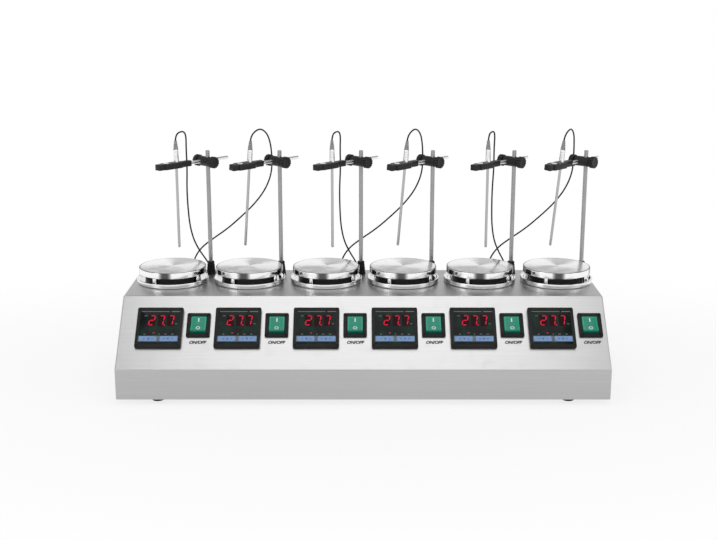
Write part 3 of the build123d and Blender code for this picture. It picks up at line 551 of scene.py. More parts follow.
def turned_steel(place):
    distance, angle = about_plate(place)
    rings = distance.noise(2600, 2, noise_dimensions="1D")
    broad = distance.noise(160, 2, noise_dimensions="1D")
    # Painted highlights: light and dark wedges out from the plate's middle.
    painted_highlight_wedges = ((angle * 2 + 0.9).cosine() * 0.6 + (angle * 3 - 0.6).cosine() * 0.4) * 0.5 + 0.5
    marks = place.noise(120, 4).fade(0.5, 0.8)
    mottle = place.noise(45, 4)
    rim = distance.fade(plate_radius - 0.0006, plate_radius - 0.0003)
    # Painted reflection: a dark ring on the rounded top edge.
    edge = distance.fade(plate_radius - 0.0024, plate_radius - 0.0018) * (1 - rim)
    painted_reflection_patches = 0
    for degrees, width in painted_rim_reflections:
        painted_reflection_patches = painted_reflection_patches + (angle - math.radians(degrees)).cosine().fade(width, 0.999)
    # The top's tone: painted highlight wedges, with the real turning rings and mottle.
    tone = painted_highlight_wedges * 0.5 + rings * 0.15 + broad * 0.1 + mottle * 0.35
    top = tone.fade(0.32, 0.68).mix(grey(0.42), grey(0.96))
    # The rim's colour: bright, with the painted dark reflections.
    side = painted_reflection_patches.least(1.0).mix(grey(0.93), grey(0.09))
    return {
        "Base Color": edge.mix(rim.mix(top, side), grey(0.10)),
        "Roughness": 0.15 + rings * 0.08 + marks * 0.08 - rim * 0.05,
        "Normal": (rings * (1 - rim)).bump(0.00004, 0.6),
    }


plate_steel = new_finish("turned_steel", {"Metallic": 1.0}, turned_steel)
plate_pattern = turned("plate", eased([
    (0, plate_z + plate_recess), (plate_radius - plate_rim, plate_z + plate_recess),
    (plate_radius - plate_rim, plate_z), (plate_radius, plate_z), (plate_radius, plate_z + plate_thickness),
    (0, plate_z + plate_thickness),
], 0.0011, 4), 128)
repeat("plates", plate_pattern, plate_places, plate_steel, stands_for=["hot_plates"])

# Drip rings: bright spun dishes with a rolled lip, one under each plate. They lie on the top panel
# and catch what boils over.
ring_radius, ring_lip, ring_floor, ring_undercut = 0.0595, 0.003, 0.005, 0.002


def chromed(place):
    haze = place.noise(140, 3)
    return {"Base Color": haze.mix(grey(0.78), grey(0.9)), "Roughness": 0.05 + haze * 0.09}


chrome = new_finish("chrome", {"Metallic": 1.0}, chromed)
ring_pattern = turned("drip_ring", eased([
    (0, panel_z), (ring_radius - ring_undercut, panel_z), (ring_radius, panel_z + ring_undercut),
    (ring_radius, panel_z + ring_height), (ring_radius - ring_lip, panel_z + ring_height),
    (ring_radius - 2 * ring_lip, panel_z + ring_floor), (0, panel_z + ring_floor),
], 0.0008, 3), 128)
repeat("drip_rings_bright", ring_pattern, plate_places, chrome, stands_for=["drip_rings"])

# Heater cups: black enamelled cans that stand in the dishes and reach up into the hollow of each
# plate, with the heating coil inside. Their near-black colour is partly painted shade that keeps the
# gap under each plate dark.
cup_radius, cup_clearance = 0.0455, 0.0003
cup_neck = plate_radius - plate_rim - cup_clearance


def enamelled(place):
    orange_peel = place.noise(400, 2)
    return {
        "Base Color": place.noise(40, 3).mix(grey(0.008), grey(0.02)),
        "Roughness": 0.3 + orange_peel * 0.15,
        "Normal": orange_peel.bump(0.00005),
    }


# Near-black enamel, which also serves as painted shade in the gap under each plate.
black_enamel = new_finish("black_enamel", {"Specular IOR Level": 0.15}, enamelled)
cup_pattern = turned("heater_cup", [
    (0, panel_z + ring_floor), (cup_radius, panel_z + ring_floor), (cup_radius, plate_z),
    (cup_neck, plate_z), (cup_neck, plate_z + plate_recess), (0, plate_z + plate_recess),
], 96)
repeat("heater_cans", cup_pattern, plate_places, black_enamel,
       stands_for=["heater_cups"])

# Support posts: four bright shouldered pillars under each plate's rim. Their studs go down through
# the dish and the panel and up into the plate.
post_circle, post_radius, stud_radius = 0.050, 0.00325, 0.002
stud_foot, stud_top = panel_z - 0.008, plate_z + 0.005
post_headings = (-118, -28, 62, 152)
post_pattern = turned("post", eased([
    (0, stud_foot), (stud_radius, stud_foot), (stud_radius, panel_z + ring_floor),
    (post_radius, panel_z + ring_floor), (post_radius, plate_z), (stud_radius, plate_z),
    (stud_radius, stud_top), (0, stud_top),
], 0.0002, 2), 32)
post_places = [
    place + post_circle * Vector((math.cos(math.radians(turn)), math.sin(math.radians(turn)), 0))
    for place in plate_places
    for turn in post_headings
]
repeat("posts", post_pattern, post_places, chrome, stands_for=["support_posts"])

# Temperature controllers: 72 mm square black moulded cases in the slope, each with a dark glossy
# pane, lit red digits behind it and a pale blue strip with two keys.
display_pitch, display_shift = 0.123, -0.012
display_x = {n: housing_x + display_shift + (n - 3.5) * display_pitch for n in stations}
display_up, display_size, display_bezel = 0.0735, 0.072, 0.005
bezel_rim, bezel_sink = 0.0042, 0.0006
case_size, case_depth = 0.0676, 0.068
pane_size = display_size - 0.009
pane_top = display_bezel - 0.0002


def on_slope(x, up, proud=0.0):
    """A place on the sloping face: X along it, Y up it, Z out of it."""
    at = Vector((x, front_y, skirt_z)) + up * slope_up + proud * slope_out
    return Matrix.Translation(at) @ Matrix((Vector((1, 0, 0)), slope_up, slope_out)).transposed().to_4x4()


def moulded(place):
    grain = place.noise(1800, 2)
    wear = place.noise(30, 3)
    return {
        "Base Color": wear.mix(grey(0.01), grey(0.022)),
        "Roughness": 0.34 + grain * 0.16,
        "Normal": grain.bump(0.00003),
    }


black_plastic = new_finish("black_plastic", {"Specular IOR Level": 0.12}, moulded)


def prism(outline, low, high, ease):
    """A bmesh of an outline that stands from low to high, with its sharp edges eased."""
    solid = bmesh.new()
    base = solid.faces.new([solid.verts.new((*point, low)) for point in outline])
    top = bmesh.ops.extrude_face_region(solid, geom=[base])["geom"]
    raised = [item for item in top if isinstance(item, bmesh.types.BMVert)]
    bmesh.ops.translate(solid, vec=(0, 0, high - low), verts=raised)
    bmesh.ops.recalc_face_normals(solid, faces=solid.faces)
    if ease:
        sharp = [edge for edge in solid.edges if edge.calc_face_angle(0) > math.radians(50)]
        bmesh.ops.bevel(solid, geom=sharp, offset=ease, segments=2, profile=0.5, affect="EDGES")
    return solid


def block(left, low, right, high, round_by=0.0):
    """A rectangle's outline, with rounded corners where round_by is given."""
    corners = [Vector(corner) for corner in ((left, low), (right, low), (right, high), (left, high))]
    return eased(corners, round_by, 4, closed=True) if round_by else corners


def rectangle(width, height, round_by=0.0):
    return block(-width / 2, -height / 2, width / 2, height / 2, round_by)


def recessed(outline, low, high, ease, margin, depth):
    """A bmesh of a prism whose top is sunk inside a margin."""
    solid = prism(outline, low, high, ease)
    top = max(solid.faces, key=lambda face: (face.calc_center_median().z, face.calc_area()))
    bmesh.ops.inset_region(solid, faces=[top], thickness=margin)
    walls = bmesh.ops.extrude_face_region(solid, geom=[top])["geom"]
    sunk = [item for item in walls if isinstance(item, bmesh.types.BMVert)]
    bmesh.ops.translate(solid, vec=(0, 0, -depth), verts=sunk)
    bmesh.ops.delete(solid, geom=[top], context="FACES_ONLY")
    return solid


display_places = [on_slope(display_x[n], display_up) for n in stations]
front_outline = rectangle(display_size, display_size, 0.003)
front_mesh = as_mesh(recessed(front_outline, 0, display_bezel, 0.0008, bezel_rim, bezel_sink), "bezel")
case_mesh = as_mesh(prism(rectangle(case_size, case_size), -case_depth, 0.0001, 0.001), "case")
repeat("controller_bezels", front_mesh, display_places, black_plastic,
       stands_for=["temperature_controllers"])
repeat("controller_cases", case_mesh, display_places, black_plastic)


def smoked(place):
    tint = place.noise(70, 3).fade(0.4, 0.7)
    return {"Base Color": tint.mix((0.006, 0.008, 0.009, 1), (0.006, 0.022, 0.015, 1))}


dark_pane = new_finish("dark_pane", {"Roughness": 0.12, "Specular IOR Level": 0.12}, smoked)
pane = as_mesh(prism(rectangle(pane_size, pane_size, 0.0008), pane_top - 0.002, pane_top, 0.0002), "pane")
repeat("controller_panes", pane, display_places, dark_pane)

# What shows on each controller: marks are thin films just above the pane, laid out in shares of
# the 72 mm front from its lower left corner.
film = 0.00008


def films(name, outlines, lift=film):
    """Thin closed films on the pane, from outlines in shares of the front."""
    solid = bmesh.new()
    for outline in outlines:
        points = [((u - 0.5) * display_size, (v - 0.5) * display_size) for u, v in outline]
        low = [solid.verts.new((x, y, pane_top - film / 2)) for x, y in points]
        high = [solid.verts.new((x, y, pane_top + lift)) for x, y in points]
        solid.faces.new(high)
        solid.faces.new(reversed(low))
        for i in range(len(points)):
            j = (i + 1) % len(points)
            solid.faces.new((low[i], low[j], high[j], high[i]))
    return as_mesh(solid, name)


digit_left, digit_pitch, digit_width = 0.262, 0.205, 0.102
digit_low, digit_high, digit_lean = 0.555, 0.785, 0.16
bar_width, bar_gap = 0.024, 0.006
segments_lit = {"2": "abged", "7": "abc"}


def digit(glyph, left):
    """The lit bars of one seven-segment figure, leaning to the right."""
    middle, right = (digit_low + digit_high) / 2, left + digit_width
    spans = {
        "a": ((left, digit_high), (right, digit_high)), "g": ((left, middle), (right, middle)),
        "d": ((left, digit_low), (right, digit_low)), "b": ((right, middle), (right, digit_high)),
        "c": ((right, digit_low), (right, middle)), "e": ((left, digit_low), (left, middle)),
    }
    bars = []
    for name in segments_lit[glyph]:
        start, end = Vector(spans[name][0]), Vector(spans[name][1])
        along = (end - start).normalized()
        across = Vector((-along.y, along.x)) * bar_width / 2
        start, end = start + along * bar_gap, end - along * bar_gap
        tip = along * bar_width / 2
        outline = [start, start + tip - across, end - tip - across, end, end - tip + across,
                   start + tip + across]
        bars.append([(p.x + (p.y - digit_low) * digit_lean, p.y) for p in outline])
    return bars


digit_lefts = [digit_left + i * digit_pitch for i in range(3)]
digit_bars = digit("2", digit_lefts[0]) + digit("7", digit_lefts[1]) + digit("7", digit_lefts[2])
point_left, point_size = digit_lefts[1] + digit_width + 0.022, 0.028
point_low = digit_low - 0.015
digit_bars.append(block(point_left, point_low, point_left + point_size, point_low + point_size))
glow = [block(left - 0.012, digit_low - 0.03, left + digit_width + 0.045, digit_high + 0.03, 0.03)
        for left in digit_lefts]
alarm_lamp = [block(0.375, 0.338, 0.412, 0.368, 0.012)]
marks = [
    block(0.09, 0.885, 0.70, 0.900), block(0.74, 0.882, 0.93, 0.903), block(0.16, 0.775, 0.22, 0.79),
    block(0.84, 0.575, 0.885, 0.59), block(0.505, 0.315, 0.53, 0.335), block(0.63, 0.315, 0.68, 0.332),
    block(0.78, 0.315, 0.83, 0.332), block(0.18, 0.315, 0.22, 0.332),
]


def dimmed(color, share):
    return tuple(share * part for part in color[:3]) + (1,)


def lit(name, core, strength):
    """The finish of a lit film, whose colour swells and fades a little along it."""
    def build(place):
        glowing = place.noise(260, 2).mix(dimmed(core, 0.75), core)
        return {"Base Color": glowing, "Emission Color": glowing}

    return new_finish(name, {"Emission Strength": strength, "Specular IOR Level": 0.1}, build)


for name, shapes, lift, finish in (
    ("controller_digits", digit_bars, film, lit("digit_red", (0.50, 0.012, 0.035, 1), 0.65)),
    ("controller_glow", glow, film / 2, lit("digit_glow", (0.016, 0.002, 0.003, 1), 0.2)),
    ("controller_lamp", alarm_lamp, film, lit("lamp_red", (0.36, 0.02, 0.05, 1), 0.4)),
    # grey print; its faint glow is painted light
    ("controller_marks", marks, film, lit("mark_grey_painted_glow", (0.16, 0.18, 0.16, 1), 0.1)),
):
    repeat(name, films(name, shapes, lift), display_places, finish)

strip_left, strip_right, strip_margin = 0.065, 0.935, 0.012
key_low, key_high, key_ease = 0.15, 0.27, 0.02
key_spans = ((0.09, 0.47), (0.54, 0.92))


def key_blue(place):
    blotch = place.noise(220, 3)
    return {
        "Base Color": blotch.mix((0.10, 0.20, 0.40, 1), (0.24, 0.38, 0.62, 1)),
        "Roughness": 0.45 + blotch * 0.1,
    }


def strip_grey(place):
    blotch = place.noise(90, 2)
    return {"Base Color": blotch.mix((0.05, 0.07, 0.09, 1), (0.12, 0.16, 0.19, 1))}


key_film = new_finish("key_film", {"Specular IOR Level": 0.3}, key_blue)
strip_film = new_finish("strip_film", {"Roughness": 0.5}, strip_grey)
strip = [block(strip_left, key_low - strip_margin, strip_right, key_high + strip_margin)]
keys = [block(left, key_low, right, key_high, key_ease) for left, right in key_spans]
repeat("controller_strips", films("strip", strip), display_places, strip_film)
repeat("controller_keys", films("keys", keys, 4 * film), display_places, key_film)
key_middle = (key_low + key_high) / 2


def arrow(across, size, heading):
    """A small printed triangle on a key, at half its height."""
    turns = [heading + k * 2 * math.pi / 3 for k in range(3)]
    return [(across + size * math.cos(turn), key_middle + size * math.sin(turn)) for turn in turns]


def dash(left):
    """A small printed block on a key, at half its height."""
    return block(left, key_middle - 0.02, left + 0.035, key_middle + 0.02)


legends = [
    arrow(0.20, 0.022, math.pi), dash(0.275), arrow(0.38, 0.022, 0),
    arrow(0.63, 0.024, math.pi / 2), dash(0.70), arrow(0.80, 0.024, -math.pi / 2),
]


def ink(place):
    return {"Base Color": place.noise(300, 2).mix((0.03, 0.07, 0.16, 1), (0.06, 0.12, 0.24, 1))}


repeat("controller_legends", films("legends", legends, 5 * film), display_places,
       new_finish("key_ink", {"Roughness": 0.5}, ink))

# Rocker switches: snap-in frames of glossy black plastic with a pocket, and a lit green rocker on
# two pins in each, tipped to ON; the upper half carries a bar and the lower half a ring.
switch_aside = 0.061
switch_x = {n: display_x[n] + switch_aside for n in stations}
switch_up, switch_width, switch_length, switch_bezel = 0.079, 0.037, 0.043, 0.003
pocket_rim, pocket_depth = 0.0052, 0.0125
body_width, body_length, body_depth = 0.0326, 0.0386, 0.026
switch_places = [on_slope(switch_x[n], switch_up) for n in stations]
bezel_outline = rectangle(switch_width, switch_length, 0.0025)
bezel_solid = recessed(bezel_outline, 0, switch_bezel, 0.0007, pocket_rim, pocket_depth)
body_solid = prism(rectangle(body_width, body_length), -body_depth, 0.0001, 0.0008)
repeat("switch_bezels", as_mesh(bezel_solid, "switch_bezel"), switch_places, black_plastic,
       stands_for=["switch_frames"])
repeat("switch_bodies", as_mesh(body_solid, "switch_body"), switch_places, black_plastic)

rocker_width, rocker_length, rocker_belly = 0.024, 0.029, 0.0055
rocker_pivot, rocker_tilt = -0.0015, 8
rocker_tip, rocker_waist = 0.005 - rocker_pivot, 0.0026 - rocker_pivot  # above the pivot
rocker_outline = eased([
    (-rocker_length / 2, rocker_tip), (-rocker_length / 2, 0), (-rocker_length / 3, -rocker_belly),
    (rocker_length / 3, -rocker_belly), (rocker_length / 2, 0), (rocker_length / 2, rocker_tip),
    (0, rocker_waist),
], 0.0012, 4, closed=True)
across_switch = Matrix(((0, 0, 1), (1, 0, 0), (0, 1, 0))).to_4x4()


def rocker_mesh(place):
    """A rocker with a map of where each point lies across and along it, for its lighter edge."""
    solid = prism(rocker_outline, -rocker_width / 2, rocker_width / 2, 0.0006)
    flat = solid.loops.layers.uv.new("face")
    for face in solid.faces:
        for loop in face.loops:
            along, _, across = loop.vert.co
            loop[flat].uv = (across / rocker_width + 0.5, along / rocker_length + 0.5)
    return as_mesh(solid, "rocker", place @ across_switch)


def lit_green(place):
    face = place.node("ShaderNodeUVMap", {"uv_map": "face"})
    u, v = face.axis(0), face.axis(1)
    edge = abs(u - 0.5).fade(0.37, 0.43).most(abs(v - 0.5).fade(0.40, 0.45))
    # Painted shade: the lower half of the tipped rocker is darker, in colour and in glow.
    lower = v.fade(0.16, 0.02)
    cloud = place.noise(240, 2)
    tone = edge.mix((0.001, 0.18, 0.11, 1), (0.008, 0.27, 0.17, 1))
    with_painted_shade = lower.mix(tone, (0.002, 0.12, 0.07, 1))
    glowing = (cloud * 0.25).mix(with_painted_shade, (0.0, 0.20, 0.14, 1))
    return {"Base Color": glowing, "Emission Color": glowing, "Roughness": 0.22 + cloud * 0.12}


rocker_green = new_finish("rocker_green", {"Emission Strength": 0.2, "Specular IOR Level": 0.4}, lit_green)
on_bar_width, on_bar_length = 0.0020, 0.0066
off_ring_inner, off_ring_outer, off_ring_sides = 0.0021, 0.0034, 24
print_sunk, print_proud = 0.00008, 0.0001
mark_share = 0.27  # of the rocker's length, from its middle to a mark


def printed(tone):
    def build(place):
        return {"Base Color": place.noise(500, 2).mix(dimmed(tone, 0.8), tone)}

    return build


def flat_ring(inner, outer, low, high, sides):
    """A bmesh of a flat ring about Z."""
    solid = bmesh.new()
    turns = [2 * math.pi * side / sides for side in range(sides)]
    rings = [
        [solid.verts.new((radius * math.cos(turn), radius * math.sin(turn), level)) for turn in turns]
        for radius, level in ((inner, low), (outer, low), (outer, high), (inner, high))
    ]
    for ring, following in zip(rings, rings[1:] + rings[:1]):
        for side in range(sides):
            solid.faces.new((ring[side], ring[side - 1], following[side - 1], following[side]))
    return solid


def rocker_marks(place):
    """The bar on the upper half and the ring on the lower one, as thin raised print."""
    slant = math.atan2(rocker_tip - rocker_waist, rocker_length / 2)
    middle = rocker_length * mark_share
    height = rocker_waist + middle * math.tan(slant)
    on_bar = prism(rectangle(on_bar_width, on_bar_length), -print_sunk, print_proud, 0)
    off_ring = flat_ring(off_ring_inner, off_ring_outer, -print_sunk, print_proud, off_ring_sides)
    solid = bmesh.new()
    for side, mark in ((1, on_bar), (-1, off_ring)):
        half = Matrix.Translation((0, side * middle, height)) @ Matrix.Rotation(side * slant, 4, "X")
        solid.from_mesh(as_mesh(mark, "mark", half))
    return as_mesh(solid, "rocker_marks", place)


pale_print = new_finish("pale_print", {"Roughness": 0.5}, printed((0.60, 0.86, 0.78, 1)))
tipped = Matrix.Rotation(math.radians(-rocker_tilt), 4, "X")
for n in stations:
    pivot = on_slope(switch_x[n], switch_up, rocker_pivot) @ tipped
    add_piece(f"rocker_{n}_cap", rocker_mesh(pivot), [rocker_green], f"rocker_{n}",
              [f"rocker_{n}"])
    add_piece(f"rocker_{n}_marks", rocker_marks(pivot), [pale_print], f"rocker_{n}")

# Words under the switches: slanted black print on the sheet, a little way below each frame. It is
# drawn here as a film that stands a tenth of a millimetre proud of the sheet.
word_height, word_lean, word_weight = 0.0072, 0.28, 0.055
word_film, word_drop = 0.0001, 0.009


def word_mesh(words):
    """Plain lettering, a thin film, centred on the origin; drawn large and then brought to size."""
    text = bpy.data.curves.new("word", "FONT")
    text.body = words
    text.shear = word_lean
    text.align_x, text.align_y = "CENTER", "CENTER"
    text.offset = word_weight
    text.extrude = word_film / word_height
    holder = bpy.data.objects.new("word", text)
    bpy.context.scene.collection.objects.link(holder)
    mesh = bpy.data.meshes.new_from_object(holder)
    bpy.data.objects.remove(holder)
    mesh.transform(Matrix.Scale(word_height, 4))
    mesh.materials.clear()
    return mesh


black_print = new_finish("black_print", {"Roughness": 0.5}, printed((0.02, 0.02, 0.02, 1)))
word_up = switch_up - switch_length / 2 - word_drop
word_places = [on_slope(switch_x[n], word_up) for n in stations]
repeat("switch_words", word_mesh("ON/OFF"), word_places, black_print)

# Stand rods: ground steel bars, 7 mm across, behind and to the right of each plate. A stud on the
# foot of each is screwed down through the top panel.
rod_behind = 0.048
rod_y = plate_y + rod_behind
rod_right = {1: 0.058, 0: 0.050}  # of the plate's middle, on odd and on even stations
rod_foot = {n: Vector((station_x[n] + rod_right[n % 2], rod_y, panel_z)) for n in stations}
rod_radius, rod_height = 0.0035, 0.212
rod_stud, rod_stud_foot = 0.003, panel_z - 0.014


def ground_bar(place):
    rings = place.stretched((60, 60, 1400)).noise(1.0, 2)
    stain = place.noise(35, 3)
    return {
        "Base Color": (rings * 0.5 + stain * 0.5).mix(grey(0.26), grey(0.46)),
        "Roughness": 0.2 + rings * 0.12 + stain * 0.05,
    }


ground_steel = new_finish("ground_steel", {"Metallic": 1.0}, ground_bar)
rod_pattern = turned("stand_rod", eased([
    (0, rod_stud_foot), (rod_stud, rod_stud_foot), (rod_stud, panel_z), (rod_radius, panel_z),
    (rod_radius, panel_z + rod_height), (0, panel_z + rod_height),
], 0.0014, 4), 48)
rod_places = [Vector((rod_foot[n].x, rod_y, 0)) for n in stations]
repeat("stand_rods_ground", rod_pattern, rod_places, ground_steel,
       stands_for=["stand_rods"])

# Rod boots: tapered sleeves of moulded rubber with five round ribs, pushed down over each rod to
# the top panel.
boot_height, boot_base, boot_top = 0.022, 0.008, 0.0058
boot_ribs, rib_depth, rib_steps, boot_lip = 5, 0.0009, 9, 0.0008
boot_outline = [(0, panel_z), (boot_base, panel_z)]
for rib in range(boot_ribs):
    for share in (step / rib_steps for step in range(1, rib_steps)):
        rise = (rib + share) * boot_height / boot_ribs
        ridge = boot_base + (boot_top - boot_base) * rise / boot_height
        boot_outline.append((ridge - rib_depth * (1 - math.sin(math.pi * share)) ** 2, panel_z + rise))
boot_outline += [(boot_top - boot_lip, panel_z + boot_height), (rod_radius, panel_z + boot_height + 0.0001),
                 (0, panel_z + boot_height + 0.0001)]
repeat("boots", turned("boot", boot_outline, 48), rod_places, black_rubber,
       stands_for=["rod_boots"])

# Boss heads: stubs of black anodised bar with crossed bores, one round the stand rod and one round
# the cross rod, and a fluted thumb screw on a short neck at either end.
boss_height, arm_offset, arm_heading = 0.193, 0.011, math.radians(227)
boss_radius, boss_end = 0.00825, 0.0085
knob_radius, knob_thickness, knob_standoff = 0.00975, 0.008, 0.0015
knob_dish, knob_flutes, flute_depth = 0.0006, 14, 0.0012
screw_neck_radius, screw_neck_foot = 0.0025, -knob_standoff - 0.004


def arm_place(n, turn=0.0):
    """The frame of a station's boss head and arm: X out along the arm, the stand rod on the +Y side."""
    out = Vector((math.cos(arm_heading), math.sin(arm_heading), 0))
    aside = Vector((-out.y, out.x, 0))
    at = rod_foot[n] - arm_offset * aside + Vector((0, 0, boss_height))
    turned_frame = Matrix((out, aside, Vector((0, 0, 1)))).transposed().to_4x4()
    return Matrix.Translation(at) @ turned_frame @ Matrix.Rotation(turn, 4, "X")


def anodised(place):
    fine = place.noise(900, 2)
    wear = place.noise(70, 4)
    return {
        "Base Color": wear.mix(grey(0.012), grey(0.03)),
        "Roughness": 0.28 + fine * 0.15 + wear * 0.08,
        "Normal": fine.bump(0.00003),
    }


black_alloy = new_finish("black_alloy", {"Specular IOR Level": 0.2}, anodised)

# The tree that cuts flutes round a turned grip: points out near its rim move in and out with the
# angle about Z.
flute_tree, flute = new_tree("fluted_grip", {"Flutes": "Int", "Depth": "Float", "Rim": "Float"})
position = flute["Rim"].node("GeometryNodeInputPosition")
radius = (position.axis(0) ** 2 + position.axis(1) ** 2) ** 0.5
angle = position.math("ARCTAN2", position.axis(1), position.axis(0))
valley = ((angle * flute["Flutes"]).cosine() * 0.5 + 0.5) ** 3
at_rim = radius > flute["Rim"]
shrink = 1 - valley * at_rim * flute["Depth"] / (radius + 0.000001)
flat_scale = radius.node("ShaderNodeCombineXYZ", inputs={0: shrink, 1: shrink, 2: 1.0})
moved = position.node("ShaderNodeVectorMath", {"operation": "MULTIPLY"}, {0: position, 1: flat_scale})
cut = moved.node("GeometryNodeSetPosition", inputs={"Geometry": flute["Geometry"], "Position": moved})
close_tree(flute_tree, cut, flute["Finish"])


def fluted(name, profile, flutes, depth, rim, finish):
    """A turned grip with flutes cut into it beyond the radius of its rim."""
    values = {"Flutes": flutes, "Depth": depth, "Rim": rim, "Finish": finish}
    return smooth(grow(name, turned(name, profile, 12 * flutes), flute_tree, values), 40)


knob_mesh = fluted("thumb_screw", eased([
    (0, screw_neck_foot), (screw_neck_radius, screw_neck_foot), (screw_neck_radius, 0), (knob_radius, 0),
    (knob_radius, knob_thickness), (knob_radius * 0.72, knob_thickness),
    (knob_radius * 0.66, knob_thickness - knob_dish), (0, knob_thickness - knob_dish),
], 0.0008, 3), knob_flutes, flute_depth, knob_radius * 0.9, black_alloy)
boss_far_end = arm_offset + boss_end
boss_outline = eased([
    (0, -boss_end), (boss_radius, -boss_end), (boss_radius, boss_far_end), (0, boss_far_end),
], 0.002, 5)
along_y = Matrix.Rotation(math.radians(-90), 4, "X")


def joined(name, parts):
    """One mesh of several, each set down at its place."""
    solid = bmesh.new()
    for mesh, place in parts:
        copy = mesh.copy()
        copy.transform(place)
        solid.from_mesh(copy)
        bpy.data.meshes.remove(copy)
    mesh = bpy.data.meshes.new(name)
    solid.to_mesh(mesh)
    solid.free()
    return mesh


boss_body = turned("boss_body", boss_outline, 64)
boss_parts = [
    (boss_body, along_y),
    (knob_mesh, Matrix.Translation((0, boss_far_end + knob_standoff, 0)) @ along_y),
    (knob_mesh, Matrix.Translation((0, -boss_end - knob_standoff, 0)) @ along_y.inverted()),
]
for n in stations:
    mesh = joined(f"boss_head_{n}", boss_parts)
    mesh.transform(arm_place(n))
    add_piece(f"boss_head_{n}_black", mesh, [black_alloy], f"boss_head_{n}",
              [f"boss_head_{n}"])

# Probe arms: a bright cross rod pressed into a black holder. The holder's thick end has two holes,
# a free one with a bright lip and the one that the probe hangs in.
arm_turn = {1: 0.0, 0: math.radians(-6)}  # on odd and on even stations
arm_radius, arm_tail, arm_into = 0.003, 0.053, 0.012
holder_near, holder_neck, holder_wide = 0.029, 0.045, 0.052
holder_step, holder_far = 0.086, 0.097
neck_half, wide_half, step_half, holder_top = 0.0045, 0.0085, 0.006, 0.00475
probe_along, spare_along, spare_radius = 0.058, 0.079, 0.004
lip_wall, lip_rise, lip_sunk = 0.0008, 0.0008, 0.003
holder_side = [
    (holder_near, neck_half), (holder_neck, neck_half), (holder_wide, wide_half), (holder_step, wide_half),
    (holder_step, step_half), (holder_far, step_half),
]
holder_outline = eased([(x, -y) for x, y in holder_side] + holder_side[::-1], 0.001, 3, closed=True)
holder_solid = prism(holder_outline, -holder_top, holder_top, 0.0006)
at_spare = Matrix.Translation((spare_along, 0, 0))
reach = 0.02
drill_outline = [(0, -reach), (spare_radius, -reach), (spare_radius, reach), (0, reach)]
holder = bpy.data.objects.new("holder", as_mesh(holder_solid, "holder"))
drill = bpy.data.objects.new("drill", turned("drill", drill_outline, 48, at_spare))
for tool in (holder, drill):
    bpy.context.scene.collection.objects.link(tool)
hole = holder.modifiers.new("hole", "BOOLEAN")
hole.operation = "DIFFERENCE"
hole.solver = "EXACT"
hole.object = drill
holder_mesh = smooth(evaluated(holder), 30)
for tool in (holder, drill):
    bpy.data.objects.remove(tool)
along_x = Matrix.Rotation(math.radians(90), 4, "Y")
arm_end = holder_near + arm_into
cross_rod = turned("cross_rod", eased([
    (0, -arm_tail), (arm_radius, -arm_tail), (arm_radius, arm_end), (0, arm_end),
], 0.0008, 3), 40, along_x)
lip_bore, lip_outside = spare_radius - lip_wall, spare_radius + lip_wall
lip_foot, lip_seat, lip_top = holder_top - lip_sunk, holder_top + 0.00003, holder_top + lip_rise
lip_ring = turned("lip", eased([
    (lip_bore, lip_foot), (spare_radius, lip_foot), (spare_radius, lip_seat), (lip_outside, lip_seat),
    (lip_outside, lip_top), (lip_bore, lip_top), (lip_bore, lip_foot),
], 0.0002, 2), 48, at_spare)

# Probes: polished closed stems, 4.5 mm across, with a grooved handle that hangs in the holder and
# a soft grey strain relief on top that the cable comes out of.
probe_length, stem_radius, stem_round = 0.139, 0.00225, 5
handle_radius, handle_length, handle_sunk = 0.00435, 0.023, 0.002
groove_pitch, groove_depth = handle_length / 6, 0.0006
relief_length, relief_radius, relief_taper, relief_tip = 0.015, 0.0039, 0.0017, 0.0018
relief_ribs, relief_pitch, rib_proud, rib_fall = 5, 0.0028, 0.00015, 0.0004
handle_bottom = holder_top - handle_sunk
handle_top = handle_bottom + handle_length
relief_top = handle_top + relief_length


def polished(place):
    haze = place.noise(200, 3)
    drawn = place.stretched((500, 500, 20)).noise(1.0, 2)
    return {
        "Base Color": (haze * 0.4 + drawn * 0.6).mix(grey(0.38), grey(0.56)),
        "Roughness": 0.16 + haze * 0.1,
    }


def burnished(place):
    haze = place.noise(260, 2)
    return {"Base Color": haze.mix(grey(0.80), grey(0.95)), "Roughness": 0.14 + haze * 0.08}


def soft_grey(place):
    cloud = place.noise(150, 2)
    return {"Base Color": cloud.mix(grey(0.22), grey(0.34)), "Roughness": 0.45 + cloud * 0.1}


probe_steel = new_finish("probe_steel", {"Metallic": 1.0}, polished)
bright_steel = new_finish("bright_steel", {"Metallic": 1.0}, burnished)
relief_softness = {"Subsurface Weight": 0.2, "Subsurface Radius": (0.002, 0.002, 0.002)}
relief_grey = new_finish("relief_grey", relief_softness, soft_grey)
at_probe = Matrix.Translation((probe_along, 0, 0))

stem_outline = [(0, -probe_length)]
for turn in (math.pi / 2 * step / stem_round for step in range(1, stem_round + 1)):
    stem_outline.append((stem_radius * math.sin(turn), stem_radius * (1 - math.cos(turn)) - probe_length))
stem_outline += [(stem_radius, handle_bottom), (0, handle_bottom)]
stem_mesh = turned("probe_stem", stem_outline, 40, at_probe)

groove_radius = handle_radius - groove_depth
handle_outline = [(0, handle_bottom), (handle_radius - groove_depth / 2, handle_bottom),
                  (handle_radius, handle_bottom + groove_depth / 2)]
for level in (handle_top - groove * groove_pitch for groove in (3, 2, 1)):
    handle_outline += [
        (handle_radius, level - groove_depth), (groove_radius, level - groove_depth / 2),
        (groove_radius, level + groove_depth / 2), (handle_radius, level + groove_depth),
    ]
handle_outline += [(handle_radius, handle_top - groove_depth), (groove_radius, handle_top), (0, handle_top)]
handle_mesh = turned("probe_handle", handle_outline, 40, at_probe)

